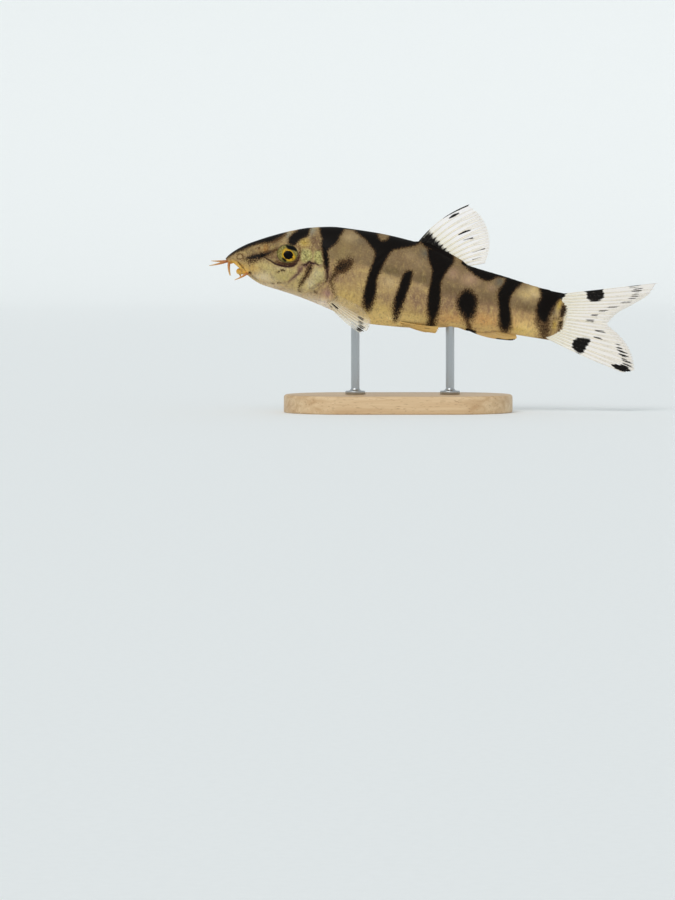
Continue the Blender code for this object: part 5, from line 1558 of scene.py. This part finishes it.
def steelMaterial():
    # brushed stainless steel: fine lines round the rod, which draw the light out along it
    shader = {"Metallic": 1.0, "Base Color": linear("#b9bcbe"), "Roughness": 0.3}
    material, tree, place = newMaterial("brushedSteel", shader)
    flat = addNode(tree, "Mapping", {"Scale": (0.05, 0.05, 1.0), "Vector": place})
    lines = addNode(tree, "TexNoise", {"Scale": 1 / (0.12 * mm), "Detail": 3.0, "Vector": flat})
    rough = addNode(tree, "MapRange", {"To Min": 0.22, "To Max": 0.42, "Value": lines})
    feedShader(tree, {"Roughness": rough}, lines, 0.15, 0.02)
    return material


def makeStand():
    points, faces = standBase()
    mesh = makeMesh("stand_base_wood", points * mm, faces)
    addPiece("stand_base_wood", mesh, beechMaterial(), "base", "stand_base")
    steel = steelMaterial()
    for name, x in stand["rods"].items():
        points, faces = standRod(x)
        mesh = makeMesh(f"stand_rod_{name}_steel", points * mm, faces)
        addPiece(f"stand_rod_{name}_steel", mesh, steel, "steel", f"stand_rod_{name}")


makeStand()
print("stand made")

# The photograph's framing: its fish is 0.28 mm a pixel, and its middle is this place of the fish's plane
camera = {
    "mmPerPixel": 0.28,
    "tall": 900,
    "aim": (-26.98, 0.0, -10.6),
    "from": 1200.0,
    "eyeLevel": 50.0,
    "sensor": 36.0,
    "clip": (0.01, 20.0),
}
studio = {
    "floor": "#f4f6f6",
    "world": "#eff6f9",
    "worldStrength": 0.66,
    "stage": {"radius": 2.4, "flat": (0.02, 0.78), "wall": 0.22, "steps": (30, 20), "around": 96},
    "sun": {"from": (-0.4, -0.8, 1.0), "strength": 1.05, "spread": 35, "tone": (1.0, 0.985, 0.96)},
    "cards": {"front": -1, "back": 1},
    "card": {
        "size": (0.13, 0.05), "out": 0.052, "along": -0.006, "height": 0.003, "aim": 0.03, "power": 0.016,
    },
}


def makeCamera():
    # a long lens, aimed so that the picture's height covers its pixels' real height at the fish
    aim = np.array(camera["aim"])
    eyePoint = np.array([aim[0], -camera["from"], camera["eyeLevel"]])
    distance = float(np.linalg.norm(aim - eyePoint))
    data = bpy.data.cameras.new("camera")
    data.sensor_width = camera["sensor"]
    data.lens = camera["sensor"] * distance / (camera["tall"] * camera["mmPerPixel"])
    data.clip_start, data.clip_end = camera["clip"]
    made = addObject("camera", data)
    made.location = eyePoint * mm
    made.rotation_euler = (math.pi / 2 + math.atan2(aim[2] - eyePoint[2], camera["from"]), 0, 0)
    bpy.context.scene.camera = made


def makeStage():
    # a flat floor that curves up to a low round wall, as a turned profile
    stage, (flatSteps, bendSteps) = studio["stage"], studio["stage"]["steps"]
    around, turn = stage["around"], fullTurn(stage["around"])
    flat = np.linspace(*stage["flat"], flatSteps)[:, None]
    bend = np.linspace(0.03, 0.5, bendSteps)[:, None] * math.pi
    out = np.concatenate([flat, flat[-1] + stage["wall"] * np.sin(bend)])
    up = np.concatenate([0 * flat, stage["wall"] * (1 - np.cos(bend))])
    rings = np.stack([out * np.cos(turn), out * np.sin(turn), up + 0 * turn], axis=2) * stage["radius"]
    here = np.arange(len(out) * around).reshape(-1, around)
    beside = np.roll(here, -1, axis=1)
    quads = np.stack([here[:-1], here[1:], beside[1:], beside[:-1]], axis=-1).reshape(-1, 4)
    fan = np.column_stack([np.full(around, here.size), here[0], beside[0]])
    mesh = makeMesh("studio_floor", np.concatenate([rings.reshape(-1, 3), [(0, 0, 0)]]), [quads, fan])
    floor = addObject("studio_floor", mesh)
    paper, tree, place = newMaterial("matPaper", {"Roughness": 0.85})
    fibre = addNode(tree, "TexNoise", {"Scale": 900.0, "Detail": 3.0, "Vector": place})
    tone = addNode(tree, "MapRange", {"To Min": -0.02, "To Max": 0.02, "Value": fibre})
    colour = {"data_type": "RGBA", "blend_type": "ADD", 0: 1.0, 6: studio["floor"], 7: tone}
    tree.links.new(addNode(tree, "Mix", colour), tree.nodes["Principled BSDF"].inputs["Base Color"])
    mesh.materials.append(paper)
    return floor


def addSun():
    # parallel light from a wide disc, so its shadows are soft; it shines from its place to the middle
    sun = studio["sun"]
    data = bpy.data.lights.new("window", "SUN")
    data.energy, data.angle, data.color = sun["strength"], math.radians(sun["spread"]), sun["tone"]
    light = addObject("window", data)
    x, y, z = light.location = sun["from"]
    light.rotation_euler = (math.atan2(math.hypot(x, y), z), 0, math.atan2(y, x) + math.pi / 2)


def addCard(name, way, unlit):
    # a soft panel low beside the fish, not seen itself, turned about the long axis to face its belly
    card = studio["card"]
    data = bpy.data.lights.new(name, "AREA")
    data.shape, data.size, data.size_y, data.energy = "RECTANGLE", *card["size"], card["power"]
    light = addObject(name, data)
    light.location = (card["along"], way * card["out"], card["height"])
    light.rotation_euler = (math.atan2(-way * card["out"], card["height"] - card["aim"]), 0, 0)
    light.visible_camera = light.visible_glossy = False
    light.light_linking.receiver_collection = unlit


def makeStudio():
    unlit = bpy.data.collections.new("cards_leave_out")  # the cards' glow is kept off the floor
    unlit.objects.link(makeStage())
    unlit.collection_objects[0].light_linking.link_state = "EXCLUDE"
    for name, way in studio["cards"].items():
        addCard(f"card_{name}", way, unlit)
    world = bpy.data.worlds.new("studio")
    bpy.context.scene.world = world
    world.use_nodes = True
    backdrop = world.node_tree.nodes["Background"]
    backdrop.inputs["Color"].default_value = linear(studio["world"])
    backdrop.inputs["Strength"].default_value = studio["worldStrength"]
    addSun()
    bpy.context.scene.view_settings.view_transform = "Standard"


makeCamera()
makeStudio()
print("camera and studio set")
